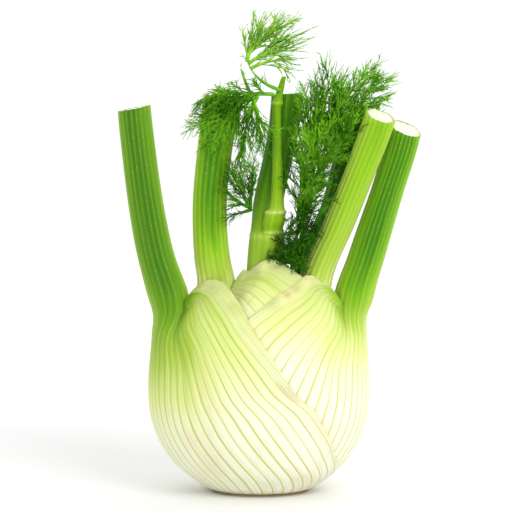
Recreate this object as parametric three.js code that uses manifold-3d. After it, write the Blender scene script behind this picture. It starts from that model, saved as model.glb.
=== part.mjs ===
// A fennel bulb with its cut stalks and feathery fronds, standing on its trimmed root end.
// Each leaf is one solid: a ribbed stalk that widens at its foot into a sheath, and the sheath wraps
// round the bulb on both sides of the stalk as a wing. The wings lie over each other, left over right.
// Millimetres, +Z up, origin at the middle of the flat root end, -Y is the front.
import * as THREE from "three";
import { ParametricGeometry } from "three/addons/geometries/ParametricGeometry.js";
import { mergeGeometries, mergeVertices } from "three/addons/utils/BufferGeometryUtils.js";
import Module from "manifold-3d";

// Driving dimensions
const LAYER_GAP = 0.8; // between the sheath of one leaf and the next
const CLEARANCE = 0.3; // kept at least between any two pieces
const MARGIN_THICKNESS = 0.9;
const SHEATH_SHARE = 0.115; // a sheath's full thickness, as a share of the bulb's radius there
const THICKENING_RUN = 26; // from a wing's margin to the sheath's full thickness
const LEAF_FOOT = 1.2; // height of the outer leaves' trimmed edge above the root end
const RIB_DEPTH = 0.85; // of the valleys between ribs
const RIB_SHARE = 0.35; // the most that a valley takes of what a wing has over its margin's thickness
const RIB_FADE = 12; // over this height ribs die out above the trimmed foot
const MM_PER_DEGREE = 0.6; // round the bulb, on average
const SEAM_ANGLE = 112; // where a wing springs from its stalk, in degrees round it from its outer side
const RIBBED_SHARE = 0.9; // of a wing's width, from its seam to its smooth margin
const SEAM_SHARPNESS = 6; // how closely a stalk's inner side keeps its thickness up to its seams
const OPENING_RUN = 7; // below its seam a stalk's tube opens into the sheath over this height
const CUT_TILT_RUN = 30; // a slanting cut leans the stalk's last rows over this height
const SPRING_SHARE = 0.22; // of a wing's margin, where the wing still bulges with its stalk
const EDGE_FADE = 8; // how fast ribs and swellings die out at a wing's edges, in fades to the wing

// The bulb's outline: [height, half width, half depth]
const OUTLINE = [
  [0, 19.5, 14.5], [1.8, 24.6, 18], [4.1, 28.8, 21], [6.4, 31.9, 23.2], [11, 37.7, 27.5],
  [15.6, 42.1, 30.6], [20.2, 45.2, 33], [24.8, 47.6, 34.9], [34, 50.7, 37.2], [43.2, 51.8, 38],
  [52.4, 51.8, 37.8], [61.6, 51.1, 36.8], [70.8, 50, 34.8], [75.4, 49.4, 33.2], [80, 47.4, 31.2],
  [84.6, 44.2, 28.8], [89.2, 40.6, 26], [93.8, 37, 22.8], [98.4, 33.5, 19.6], [103, 30, 16.6],
  [107.6, 26.6, 13.9], [114, 22, 11],
];

const clamp01 = (x) => Math.min(1, Math.max(0, x));
const smooth = (x) => clamp01(x) ** 2 * (3 - 2 * clamp01(x));
const mix = (a, b, t) => a + (b - a) * t;
const radians = THREE.MathUtils.degToRad;

// A smooth function through rows of [position, value, value...]: gives the value in one column.
function smoothTable(rows, column = 1) {
  const slope = (i) => {
    const a = rows[Math.max(0, i - 1)];
    const b = rows[Math.min(rows.length - 1, i + 1)];
    return (b[column] - a[column]) / (b[0] - a[0]);
  };
  return (x) => {
    if (x <= rows[0][0]) return rows[0][column];
    const i = rows.findIndex((row) => row[0] >= x);
    if (i < 0) return rows[rows.length - 1][column];
    const h = rows[i][0] - rows[i - 1][0];
    const t = (x - rows[i - 1][0]) / h;
    const [p0, p1] = [rows[i - 1][column], rows[i][column]];
    const [m0, m1] = [slope(i - 1) * h, slope(i) * h];
    return (2 * t ** 3 - 3 * t ** 2 + 1) * p0 + (t ** 3 - 2 * t ** 2 + t) * m0
      + (3 * t ** 2 - 2 * t ** 3) * p1 + (t ** 3 - t ** 2) * m1;
  };
}

const halfWidth = smoothTable(OUTLINE, 1);
const halfDepth = smoothTable(OUTLINE, 2);

// Distance from the bulb's axis to its outline. Angles run from the front, and -90 is the left side.
const outlineRadius = (angle, z) => Math.hypot(
  halfWidth(z) * Math.sin(radians(angle)),
  halfDepth(z) * Math.cos(radians(angle)),
);

// A point of the bulb's surface, moved in towards the axis by an inset.
function onBulb(angle, z, inset) {
  const share = 1 - inset / outlineRadius(angle, z);
  return new THREE.Vector2(
    share * halfWidth(z) * Math.sin(radians(angle)),
    -share * halfDepth(z) * Math.cos(radians(angle)),
  );
}

// The leaves, from the outside in. All are written as left leaves, and side +1 mirrors one to the right.
// stalk rows: [height, centre x, centre y, half width, half depth]
// seam rows: [height, degrees from the leaf's middle to where the wing starts], written from the foot up
// margin rows: [degrees from the leaf's middle, height], along the wing's free edge from the stalk round
const OUTER_LEFT = {
  name: "outer_left_leaf", side: -1, foot: LEAF_FOOT,
  seamHeight: 89, blend: [60, 91], top: 177, cutTilt: [0.2, 0.03],
  stalk: [
    [60, -45.6, 0, 6, 15], [70, -43.4, 0, 7.6, 13.5], [80, -41.4, 0, 9, 12], [89, -42, 0, 9.6, 10.8],
    [93.8, -43, 0, 9.9, 10.2], [98.4, -44.4, 0, 9.6, 9.7], [107.6, -47.3, 0.3, 9, 8.9],
    [116.8, -49.5, 0.7, 8.7, 8.4], [130.6, -52, 1.3, 8.4, 8], [144.4, -54, 2, 8.2, 7.8],
    [158.2, -55.7, 2.6, 8, 7.6], [172, -57.2, 3, 7.8, 7.4], [180, -57.8, 3.2, 7.7, 7.3],
  ],
  frontSeam: [[1.2, 62], [11, 57], [20, 52], [30, 47], [43, 44], [60, 42], [70, 38], [80, 29], [89, 17]],
  backSeam: [[1.2, 50], [11, 49], [20, 47], [30, 45], [43, 43], [60, 41], [70, 37], [80, 29], [89, 17]],
  frontMargin: [
    [26, 92.5], [33.4, 95.3], [37.5, 97.2], [43.2, 99], [51.1, 99.6], [58.8, 98.7], [66.8, 95.7],
    [77.2, 89.2], [84.6, 81], [91.3, 72.7], [98.1, 63.9], [107.3, 51.5], [112.7, 46.9], [119.1, 41.4],
    [124.3, 35], [132.2, 26.7], [141, 19.3], [151.5, 13.3], [165, 8.3], [176, 4.6], [182, 1.2],
  ],
  backMargin: [
    [26, 92], [33.4, 94.6], [42, 97], [52, 97.4], [62, 95], [72, 88.5], [81, 79], [89, 69], [98, 57],
    [108, 45], [118, 34], [128, 24], [138, 15], [146, 8], [150, 1.2],
  ],
  columns: { stalk: 16, wing: 12, inner: 5, innerWing: 9 }, rows: { stalk: 8, sheath: 12, inner: 10 },
};

const OUTER_RIGHT = {
  name: "outer_right_leaf", side: 1, foot: LEAF_FOOT,
  seamHeight: 88, blend: [60, 91], top: 168, cutTilt: [0.36, 0.42],
  stalk: [
    [60, -45, 0, 6, 15], [70, -43, 0, 7.6, 13.5], [80, -41.8, 0, 8.8, 12], [88, -43, 0, 9.4, 10.8],
    [93.8, -44, 0, 9.6, 10], [98.4, -45.3, -0.2, 9.4, 9.4], [107.6, -48.4, -0.6, 9, 8.8],
    [116.8, -51.2, -1.2, 8.7, 8.4], [130.6, -55.4, -2.4, 8.2, 7.9], [144.4, -59.7, -3.6, 7.8, 7.5],
    [158.2, -63.6, -5, 7.5, 7.2], [167, -65.8, -5.8, 7.3, 7], [176, -68, -6.6, 7.2, 6.9],
  ],
  frontSeam: [[1.2, 76], [11, 66], [20, 57], [30, 51], [43, 47], [60, 44], [70, 38], [80, 29], [88, 17]],
  backSeam: [[1.2, 50], [11, 49], [20, 47], [30, 45], [43, 43], [60, 41], [70, 37], [80, 29], [88, 17]],
  frontMargin: [
    [20, 92.5], [23, 97], [30, 100.2], [39, 101.4], [47, 101.2], [54, 99.4], [61.5, 97.5],
    [79.2, 92.5], [88.4, 88.3], [95.7, 84.2], [101, 79.5], [109, 71], [119, 58], [128, 43],
    [136, 25], [146, 10], [152, 1.2],
  ],
  backMargin: [
    [26, 91], [33.4, 93.6], [42, 96], [52, 96.4], [62, 94], [72, 87.5], [81, 78], [89, 68], [98, 56],
    [108, 44], [118, 33], [128, 23], [138, 14], [142, 7], [144, 1.2],
  ],
  columns: { stalk: 16, wing: 12, inner: 5, innerWing: 9 }, rows: { stalk: 8, sheath: 12, inner: 10 },
};

const INNER_LEFT = {
  name: "inner_left_leaf", side: -1, foot: 7,
  seamHeight: 92, blend: [58, 97], top: 183, cutTilt: [0.07, 0.04],
  stalk: [
    [58, -36, 0, 4, 13], [70, -33, 0, 5.5, 11.5], [80, -27.5, 0, 7.5, 10], [89, -22.6, 0, 8.4, 9],
    [94, -20.8, -0.2, 8.9, 8.7], [98.4, -20.2, -0.3, 9, 8.5], [107.6, -21.8, -0.6, 8.6, 8.3],
    [121.4, -22.9, -1, 8.2, 8], [135.2, -22.9, -1.6, 8.1, 7.8], [149, -21.7, -2.2, 8.2, 7.8],
    [167, -19.4, -3, 8.4, 8], [182, -17.3, -3.8, 8.7, 8.2], [190, -16.3, -4.2, 8.8, 8.3],
  ],
  frontSeam: [[7, 50], [30, 52], [50, 54], [70, 58], [80, 64], [88, 69], [92, 71]],
  backSeam: [[7, 50], [30, 50], [50, 51], [70, 55], [80, 60], [88, 66], [92, 70]],
  frontMargin: [
    [74, 97.5], [76, 101], [79, 103.6], [82, 102.8], [86, 104.8], [92, 107.4], [99, 108.6], [107, 108.6],
    [115, 106.8], [124, 103.6], [132, 100], [139, 92], [144, 80], [147, 60], [148, 40], [147, 20], [144, 7],
  ],
  backMargin: [
    [76, 97], [84, 100], [92, 101.5], [100, 100.5], [108, 96], [115, 86], [120, 70], [122, 50],
    [122, 25], [120, 7],
  ],
  columns: { stalk: 14, wing: 8, inner: 5, innerWing: 6 }, rows: { stalk: 8, sheath: 9, inner: 8 },
};

const INNER_RIGHT = {
  name: "inner_right_leaf", side: 1, foot: 7,
  seamHeight: 88, blend: [58, 98], top: 174, cutTilt: [0.33, 0.4],
  stalk: [
    [58, -34, 0, 4, 13], [70, -31.5, -0.5, 5.5, 11.5], [80, -28, -1, 7, 9.6], [88, -25.2, -1.6, 7.8, 8.4],
    [98.4, -25.6, -2.4, 8, 7.7], [107.6, -28.6, -3.4, 7.9, 7.4], [121.4, -34.8, -5.4, 7.7, 7.2],
    [135, -40.2, -7.8, 7.6, 7], [149, -45.6, -10.4, 7.4, 6.8], [163, -50.6, -13, 7.2, 6.7],
    [174, -54.2, -15, 7, 6.6], [182, -56.8, -16.4, 6.9, 6.5],
  ],
  frontSeam: [[7, 46], [30, 48], [50, 50], [70, 54], [80, 60], [88, 66]],
  backSeam: [[7, 46], [30, 48], [50, 50], [70, 54], [80, 60], [88, 66]],
  frontMargin: [
    [72, 92], [80, 95], [88, 95], [96, 92], [103, 86], [109, 76], [113, 60], [114, 40], [112, 20], [108, 7],
  ],
  backMargin: [
    [72, 93], [80, 97], [90, 98], [100, 95], [108, 88], [114, 76], [118, 60], [118, 40],
    [116, 20], [110, 7],
  ],
  columns: { stalk: 14, wing: 6, inner: 5, innerWing: 5 }, rows: { stalk: 8, sheath: 8, inner: 8 },
};

const LEAVES = [OUTER_LEFT, OUTER_RIGHT, INNER_LEFT, INNER_RIGHT];
for (const leaf of LEAVES) {
  for (const way of ["front", "back"]) {
    const margin = leaf[`${way}Margin`];
    const furthest = margin.findIndex(([turn], i) => i + 1 === margin.length || margin[i + 1][0] <= turn);
    const peak = margin.reduce((best, [, height], i) => (height >= margin[best][1] ? i : best), 0);
    leaf[`${way}Height`] = smoothTable(margin.slice(0, furthest + 1));
    leaf[`${way}Reach`] = smoothTable(margin.slice(peak).map(([turn, height]) => [height, turn]).reverse());
  }
  leaf.seamAngle = { front: smoothTable(leaf.frontSeam), back: smoothTable(leaf.backSeam) };
  [leaf.x, leaf.y, leaf.rx, leaf.ry] = [1, 2, 3, 4].map((column) => smoothTable(leaf.stalk, column));
}

// How thick a leaf's sheath is at a place on the bulb: thin at its margin, and full well inside it.
function sheathThickness(leaf, angle, z) {
  const turn = ((leaf.side < 0 ? angle + 90 : 90 - angle) + 540) % 360 - 180;
  const front = turn >= 0;
  const height = front ? leaf.frontHeight : leaf.backHeight;
  const reach = front ? leaf.frontReach : leaf.backReach;
  const below = height(Math.abs(turn)) - z;
  const before = (reach(z) - Math.abs(turn)) * MM_PER_DEGREE;
  const inside = Math.max(0, Math.min(below, before));
  const full = SHEATH_SHARE * outlineRadius(angle, z);
  return mix(MARGIN_THICKNESS, Math.max(full, MARGIN_THICKNESS), smooth(inside / THICKENING_RUN));
}

// How far a leaf lies inside the bulb's outline: under every leaf outside it.
function layerInset(leaf, angle, z) {
  const outside = LEAVES.slice(0, LEAVES.indexOf(leaf));
  return outside.reduce((sum, other) => sum + sheathThickness(other, angle, z) + LAYER_GAP, 0);
}

// Turns ParametricGeometry patches and bands into one closed solid.
const wasm = await Module();
wasm.setup();

function toSolid(geometry) {
  const merged = mergeVertices(geometry, 1e-3);
  const kept = [];
  for (let i = 0; i < merged.index.count; i += 3) {
    const [a, b, c] = [0, 1, 2].map((corner) => merged.index.getX(i + corner));
    if (a !== b && b !== c && c !== a) kept.push([a, b, c]);
  }
  const vertProperties = merged.attributes.position.array;
  const build = (faces) => new wasm.Manifold(new wasm.Mesh({
    numProp: 3, vertProperties, triVerts: new Uint32Array(faces.flat()),
  }));
  const solid = build(kept);
  return solid.volume() > 0 ? solid : build(kept.map(([a, b, c]) => [a, c, b]));
}

function toGeometry(solid) {
  const mesh = solid.getMesh();
  const position = new Float32Array(mesh.numVert * 3);
  for (let i = 0; i < mesh.numVert; i++) {
    position.set(mesh.vertProperties.subarray(i * mesh.numProp, i * mesh.numProp + 3), i * 3);
  }
  const geometry = new THREE.BufferGeometry();
  geometry.setAttribute("position", new THREE.BufferAttribute(position, 3));
  geometry.setIndex(new THREE.BufferAttribute(mesh.triVerts, 1));
  geometry.computeVertexNormals();
  return geometry;
}

// A grid of faces over a function of (u, v). flipped turns its faces round.
function patch(place, across, along, flipped) {
  const placed = (u, v, target) => target.copy(place(flipped ? 1 - u : u, v));
  const geometry = new ParametricGeometry(placed, across, along).toNonIndexed();
  geometry.deleteAttribute("normal");
  geometry.deleteAttribute("uv");
  return geometry;
}

// A band of triangles between two edges that may have different numbers of steps.
function band(edgeA, stepsA, edgeB, stepsB, flipped) {
  const corners = [];
  let [i, j] = [0, 0];
  while (i < stepsA || j < stepsB) {
    const stepA = j >= stepsB || (i < stepsA && (i + 1) / stepsA <= (j + 1) / stepsB + 1e-9);
    const [a, b] = [edgeA(i / stepsA), edgeB(j / stepsB)];
    const next = stepA ? edgeA((i + 1) / stepsA) : edgeB((j + 1) / stepsB);
    corners.push(...(flipped ? [a, next, b] : [a, b, next]));
    if (stepA) i += 1;
    else j += 1;
  }
  return new THREE.BufferGeometry().setFromPoints(corners);
}

// One leaf as a closed solid. grown moves its inner side and its margins out by that much, so that the
// result can be cut out of the leaves inside it and leave them clear.
function leafSolid(leaf, grown = 0) {
  const { columns, rows, blend, seamHeight, top } = leaf;
  const foot = leaf.foot - grown;
  const stalkShare = (z) => smooth((z - blend[0]) / (blend[1] - blend[0]));
  const bulbAngle = (turn) => (leaf.side < 0 ? turn - 90 : 90 - turn);
  const mirrored = (point) => new THREE.Vector2(-leaf.side * point.x, point.y);
  const inset = (turn, z) => layerInset(leaf, bulbAngle(turn), z);
  const thickness = (turn, z) => sheathThickness(leaf, bulbAngle(turn), z) + grown;
  // All places are worked out on the left, and the last step mirrors a right leaf.
  const sheath = (turn, z, depth) => mirrored(onBulb(bulbAngle(turn), z, inset(turn, z) + depth));
  const tube = (around, z, ridge) => new THREE.Vector2(
    leaf.x(z) - (leaf.rx(z) + ridge) * Math.cos(radians(around)),
    leaf.y(z) - (leaf.ry(z) + ridge) * Math.sin(radians(around)),
  );
  const finish = (point, z) => {
    const tilt = smooth((z - top + CUT_TILT_RUN) / CUT_TILT_RUN);
    const lift = tilt * (leaf.cutTilt[0] * (point.x - leaf.x(z)) + leaf.cutTilt[1] * (point.y - leaf.y(z)));
    return new THREE.Vector3(-leaf.side * point.x, point.y, z + lift);
  };
  const valley = (share, count, depth) => (grown || Math.round(share * count) % 2 ? 0 : -depth);
  const footFade = (z) => smooth((z - foot) / RIB_FADE);
  const edgeFade = (share) => smooth(share * EDGE_FADE);

  // Height down the sheath, from the seam (0) to the foot (1).
  const down = (r) => mix(seamHeight, foot, r);
  const turnAt = (c, z) => (c < 0 ? c * leaf.seamAngle.back(z) : c * leaf.seamAngle.front(z));
  // c runs from -1 at the back seam to 1 at the front seam.
  const middleOuter = (c, z) => {
    const shown = edgeFade(1 - Math.abs(c)) * footFade(z);
    const rib = grown + valley((c + 1) / 2, columns.stalk, RIB_DEPTH) * shown;
    return sheath(turnAt(c, z), z, -rib).lerp(tube(c * SEAM_ANGLE, z, rib), stalkShare(z));
  };
  const middleInner = (c, z) => {
    const opened = smooth((seamHeight - z) / OPENING_RUN);
    const depth = mix(thickness(turnAt(c, z), z), -grown, (1 - opened) * Math.abs(c) ** SEAM_SHARPNESS);
    const around = Math.sign(c || 1) * (180 - (180 - SEAM_ANGLE) * Math.abs(c));
    return sheath(turnAt(c, z), z, depth).lerp(tube(around, z, grown), stalkShare(z));
  };

  // A wing: k runs from its seam (0) to its margin (1), r from the point where it springs (0) to its foot.
  const wing = (way) => {
    const sign = way === "front" ? 1 : -1;
    const start = leaf.seamAngle[way](seamHeight);
    const points = [[start, seamHeight], ...leaf[`${way}Margin`]];
    const stops = points.map(([turn, z]) => new THREE.Vector3(turn, z, 0));
    const margin = new THREE.CatmullRomCurve3(stops, false, "centripetal");
    const place = (k, r) => {
      const edge = margin.getPointAt(r);
      const swell = grown * edgeFade(r);
      const z = mix(down(r), edge.y + swell * mix(-1, 1, edgeFade(1 - r)), k);
      return [sign * mix(leaf.seamAngle[way](down(r)), edge.x + 2 * swell, k), z];
    };
    const side = (middle, depthAt) => {
      const pull = (r) => {
        const [turn, z] = place(0, r);
        return middle(sign, z).sub(sheath(turn, z, depthAt(turn, z)));
      };
      const spring = pull(0);
      return (k, r) => {
        const [turn, z] = place(k, r);
        const local = pull(r).lerp(spring.clone().multiplyScalar(1 - smooth(r / SPRING_SHARE)), k);
        const shown = edgeFade(r) * edgeFade(RIBBED_SHARE - k) * edgeFade(k) * footFade(z);
        const spare = RIB_SHARE * (thickness(turn, z) - MARGIN_THICKNESS);
        const depth = middle === middleOuter ? Math.min(RIB_DEPTH, spare) : 0;
        const rib = valley(k, columns.wing, depth) * shown;
        return finish(sheath(turn, z, depthAt(turn, z) - rib).add(local), z);
      };
    };
    return { outer: side(middleOuter, () => -grown), inner: side(middleInner, thickness) };
  };
  const front = wing("front");
  const back = wing("back");
  const stalkHeight = (v) => mix(top, seamHeight, v);
  const outer = (c, z) => finish(middleOuter(c, z), z);
  const inner = (c, z) => finish(middleInner(c, z), z);
  const across = (u) => 2 * u - 1;
  const crown = new THREE.Vector3();
  for (const u of [0, 0.25, 0.5, 0.75]) {
    crown.add(outer(across(u), top)).add(inner(across(u), top));
  }
  crown.multiplyScalar(1 / 8);
  const atCrown = () => crown;

  return toSolid(mergeGeometries([
    patch((u, v) => outer(across(u), stalkHeight(v)), columns.stalk, rows.stalk, true),
    patch((u, v) => inner(across(u), stalkHeight(v)), columns.inner, rows.stalk, false),
    patch((u, v) => outer(across(u), down(v)), columns.stalk, rows.sheath, true),
    patch((u, v) => inner(across(u), down(v)), columns.inner, rows.inner, false),
    patch(front.outer, columns.wing, rows.sheath, true),
    patch(front.inner, columns.innerWing, rows.inner, false),
    patch(back.outer, columns.wing, rows.sheath, false),
    patch(back.inner, columns.innerWing, rows.inner, true),
    band((t) => front.outer(1, t), rows.sheath, (t) => front.inner(1, t), rows.inner, true),
    band((t) => back.outer(1, t), rows.sheath, (t) => back.inner(1, t), rows.inner, false),
    band((t) => outer(across(t), foot), columns.stalk, (t) => inner(across(t), foot), columns.inner, false),
    band((t) => front.outer(t, 1), columns.wing, (t) => front.inner(t, 1), columns.innerWing, false),
    band((t) => back.outer(t, 1), columns.wing, (t) => back.inner(t, 1), columns.innerWing, true),
    band((t) => outer(across(t), top), columns.stalk, atCrown, 1, true),
    band((t) => inner(across(t), top), columns.inner, atCrown, 1, false),
  ]));
}

const largest = (solid) => solid.decompose().sort((a, b) => b.volume() - a.volume())[0];

// The cut stalk at the heart of the bulb and the young shoot beside it are round all the way down.
// rows: [height, centre x, centre y, half width, half depth]
const HEART = [
  [7, 0, 0, 12, 8], [30, 0, 0, 27, 18], [55, 0, 0, 25, 17], [75, 1, 0, 16, 11], [88, 2.4, 0, 9.8, 8.6],
  [100, 2.4, 0, 8.9, 8.2], [112, 2.7, 0.4, 8.3, 8], [118.5, 3.1, 0.8, 8, 7.8], [124, 3.4, 1.2, 7.4, 7.4],
  [134, 3.9, 2, 7, 7], [153, 8, 3.4, 7, 6.8], [168, 11, 4.6, 7.2, 6.8], [183.3, 12.6, 5.6, 7.4, 7],
];
const SHOOT = [
  [112, 4.8, -2.6, 2.4, 2.4], [117, 5.2, -4.8, 3.8, 3.3], [120.2, 5.5, -5.8, 4.6, 3.8],
  [121.8, 5.8, -6, 4.4, 3.7], [125, 6.2, -6.3, 5.2, 4.2], [128.6, 6.9, -6.4, 4.8, 4],
  [130, 7.2, -6.4, 4.8, 4.1], [131.6, 7.6, -6.4, 3.7, 3.4], [137, 7.9, -6.3, 3, 2.8],
  [146, 8, -5.9, 2.6, 2.5], [158, 7.8, -5.4, 2.1, 2.1], [172, 7.7, -4.9, 2, 2], [178, 7.7, -4.7, 2, 2],
  [179.4, 7.8, -4.6, 2.6, 2.5], [181, 8.1, -4.5, 2.1, 2], [191.5, 10.9, -3.6, 1, 1],
];
const INNERMOST_RIGHT = [
  [40, 16, 6, 3, 3], [60, 18, 7, 6, 4], [80, 19.4, 7.6, 6.6, 5], [95, 21, 8.4, 6.6, 5.6],
  [107.6, 24.6, 10, 7, 6.6], [130.4, 35, 12, 7.2, 7], [154, 41.4, 12.4, 7.2, 7],
  [167, 45.4, 12.2, 7.1, 6.9], [179, 49.2, 11.8, 7, 6.8],
];

// A closed round solid through such rows, with sides faces round and steps faces along.
function roundSolid(rows, sides, steps, cutTilt = [0, 0], grown = 0) {
  const [x, y, rx, ry] = [1, 2, 3, 4].map((column) => smoothTable(rows, column));
  const [low, high] = [rows[0][0] - grown, rows[rows.length - 1][0] + grown];
  const at = (u, z) => {
    const dx = (rx(z) + grown) * Math.cos(2 * Math.PI * u);
    const dy = (ry(z) + grown) * Math.sin(2 * Math.PI * u);
    const lift = smooth((z - high + CUT_TILT_RUN) / CUT_TILT_RUN) * (cutTilt[0] * dx + cutTilt[1] * dy);
    return new THREE.Vector3(x(z) + dx, y(z) + dy, z + lift);
  };
  const floor = new THREE.Vector3(x(low), y(low), low);
  const crown = new THREE.Vector3(x(high), y(high), high);
  return toSolid(mergeGeometries([
    patch((u, v) => at(u, mix(low, high, v)), sides, steps, false),
    band((t) => at(t, low), sides, () => floor, 1, false),
    band((t) => at(t, high), sides, () => crown, 1, true),
  ]));
}

// Fronds: thin spines that carry side sprigs, and the sprigs carry needles on all sides.
// Each row of a frond: [start, bend, tip, number of side sprigs, their reach]
const FRONDS = {
  top_frond: [
    [[7.2, -7.6, 184.4], [-11, -8, 192], [9.6, -6, 218], 9, 9.5],
    [[-2.6, -7.4, 196.4], [4, -8, 204], [15.5, -6, 210], 4, 9],
    [[-2.8, -7.6, 194.6], [5, -9, 200], [16, -8, 197.4], 4, 8],
  ],
  upper_left_frond: [
    [[6.4, -8.4, 183.4], [-8, -12, 186], [-27, -16, 171], 7, 10],
    [[-4, -12, 183.4], [-14, -15, 187], [-26, -14, 183.5], 4, 8],
    [[-8, -13.4, 181.4], [-14, -17, 175], [-20, -17, 163], 5, 9],
    [[-1, -11, 182.6], [-6, -16, 174], [-9, -12, 155], 6, 9],
    [[-4, -11.6, 183], [-7, -12, 190], [-8.6, -11, 195], 2, 4],
  ],
  lower_left_frond: [
    [[-4, -8.6, 130.6], [-8, -10, 138], [-12, -11, 148], 5, 8],
    [[-5.4, -9, 132.6], [-10, -10, 134], [-15, -10, 139], 3, 6],
    [[-4.4, -8.8, 132], [-4, -10, 142], [-3, -10, 150], 3, 6],
  ],
  right_fronds: [
    [[14.5, -7, 104], [16, -12.4, 124], [26, -13, 148], 5, 9],
    [[25.6, -13, 147], [31, -10, 164], [36, -7, 179], 6, 12],
    [[28, -12.6, 152], [40, -6, 176], [55, -3, 191], 8, 12],
    [[33, -9, 168], [38, -6, 186], [50, -4, 197], 6, 9],
    [[23.4, -12.8, 142], [26, -9, 166], [31, -6, 187], 6, 10],
    [[18.6, -11, 130], [18.5, -10, 160], [21, -7, 181], 6, 9],
    [[26, -13, 148], [35, -13, 158], [43, -14, 160], 3, 8],
    [[14.7, -7.6, 107], [20, -16, 120], [28, -17, 134], 5, 9],
    [[14.6, -7.2, 105.6], [20, -15, 113], [30, -17, 120], 4, 8],
    [[14.7, -7.6, 106.6], [15, -15, 120], [17, -14, 134], 4, 8],
    [[14.4, -8.4, 107.4], [10, -12, 107], [5, -11.6, 113], 2, 5],
  ],
};
const CORE_RADIUS = { root: 1, tip: 0.75 };
const CORE_TWIST = 0.45; // between one sprig and the next
const SPRIG_ROOT_LENGTH = 1.3;
const SPRIG_SHRINK = [0.62, 0.5];
const SPRIG_LEAN = 36; // between a sprig and its spine, and between a needle and its sprig
const SPRIG_SPAN = [0.22, 0.96]; // of the spine that carries sprigs
const NEEDLE_REACH = [0.55, 0.85]; // shares of the sprig's length
const NEEDLE_ROOM = 1.6; // between a needle's middle and a stalk
const CORE_ROOM = 2;

function randomFrom(seed) {
  let state = seed;
  return () => {
    state = (state * 1664525 + 1013904223) % 4294967296;
    return state / 4294967296;
  };
}

const rowTables = (rows) => [1, 2, 3, 4].map((column) => smoothTable(rows, column));
const OBSTACLES = [
  ...LEAVES.map((leaf) => ({ low: 85, high: leaf.top, side: -leaf.side, tables: rowTables(leaf.stalk) })),
  ...[HEART, SHOOT, INNERMOST_RIGHT].map((rows) => ({
    low: rows[0][0], high: rows[rows.length - 1][0], side: 1, tables: rowTables(rows),
  })),
];

// Bends a point sideways until it is clear of the stalks.
function clearOfStalks(point, room = NEEDLE_ROOM) {
  const moved = point.clone();
  for (const { low, high, side, tables: [x, y, rx, ry] } of OBSTACLES) {
    const z = moved.z;
    if (z < low || z > high + 5) continue;
    const [dx, dy] = [moved.x - side * x(z), moved.y - y(z)];
    const share = Math.hypot(dx / (rx(z) + room), dy / (ry(z) + room));
    if (share < 1 && share > 0) {
      moved.x = side * x(z) + dx / share;
      moved.y = y(z) + dy / share;
    }
  }
  return moved;
}

const average = (points) => points.reduce((sum, point) => sum.add(point), new THREE.Vector3())
  .divideScalar(points.length);

// The direction that leans away from a line of growth, towards one side.
const leaning = (line, aside) => line.clone().multiplyScalar(Math.cos(radians(SPRIG_LEAN)))
  .addScaledVector(aside, Math.sin(radians(SPRIG_LEAN))).normalize();

// A four-cornered face, or a needle drawn out of it.
function addFace(corners, [a, b, c, d], needleTip) {
  if (needleTip) corners.push(a, b, needleTip, b, c, needleTip, c, a, needleTip, a, c, d);
  else corners.push(a, b, c, a, c, d);
}

// Draws a sprig out of a four-cornered face, and needles out of the sprig's own sides.
function addSprig(corners, root, line, length, random) {
  const middle = average(root);
  const place = (share) => clearOfStalks(middle.clone().addScaledVector(line, share * length));
  const rings = [root, ...SPRIG_SHRINK.map((shrink, j) => {
    const centre = place((j + 1) / (SPRIG_SHRINK.length + 1));
    return root.map((corner) => centre.clone().addScaledVector(corner.clone().sub(middle), shrink));
  })];
  const tip = place(1);
  rings.forEach((ring, j) => {
    const next = rings[j + 1];
    for (let s = 0; s < 4; s++) {
      const [a, b] = [ring[s], ring[(s + 1) % 4]];
      if (!next) {
        corners.push(a, b, tip);
        continue;
      }
      const face = [a, b, next[(s + 1) % 4], next[s]];
      const foot = average(face);
      const out = foot.clone().sub(average([...ring, ...next])).normalize();
      const reach = length * mix(...NEEDLE_REACH, random());
      addFace(corners, face, clearOfStalks(foot.addScaledVector(leaning(line, out), reach)));
    }
  });
}

function spineSolid([start, bend, tip, sprigs, reach], random) {
  const points = [start, bend, tip].map((place) => new THREE.Vector3(...place));
  const spine = new THREE.QuadraticBezierCurve3(...points);
  const length = spine.getLength();
  const stops = [0];
  for (let n = 0; n < sprigs; n++) {
    const t = mix(...SPRIG_SPAN, n / Math.max(1, sprigs - 1));
    const halfRoot = SPRIG_ROOT_LENGTH / 2 / length;
    stops.push(t - halfRoot, t + halfRoot);
  }
  const rings = stops.map((t, i) => {
    const tangent = spine.getTangent(t);
    const across = new THREE.Vector3(0, 1, 0).cross(tangent).normalize();
    const up = tangent.clone().cross(across);
    const centre = clearOfStalks(spine.getPoint(t), CORE_ROOM);
    const radius = mix(CORE_RADIUS.root, CORE_RADIUS.tip, t);
    return [0, 1, 2].map((s) => {
      const turn = 2 * Math.PI * s / 3 + CORE_TWIST * Math.ceil(i / 2);
      return centre.clone()
        .addScaledVector(across, radius * Math.cos(turn))
        .addScaledVector(up, radius * Math.sin(turn));
    });
  });
  const corners = [rings[0][0], rings[0][2], rings[0][1]];
  rings.forEach((ring, i) => {
    for (let s = 0; s < 3; s++) {
      const [a, b] = [ring[s], ring[(s + 1) % 3]];
      const next = rings[i + 1];
      if (!next) {
        corners.push(a, b, spine.getPoint(1));
        continue;
      }
      const face = [a, b, next[(s + 1) % 3], next[s]];
      const sprig = (i - 1) / 2;
      if (i % 2 && sprig % 3 === s) {
        const out = average(face).sub(average([...ring, ...next])).normalize();
        const size = reach * mix(1.05, 0.6, stops[i]) * mix(0.8, 1.15, random());
        addSprig(corners, face, leaning(spine.getTangent(stops[i]), out), size, random);
      } else {
        addFace(corners, face);
      }
    }
  });
  return toSolid(new THREE.BufferGeometry().setFromPoints(corners));
}

function frondSolid(name) {
  const random = randomFrom(name.length * 7919);
  return largest(wasm.Manifold.union(FRONDS[name].map((row) => spineSolid(row, random))));
}

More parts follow.
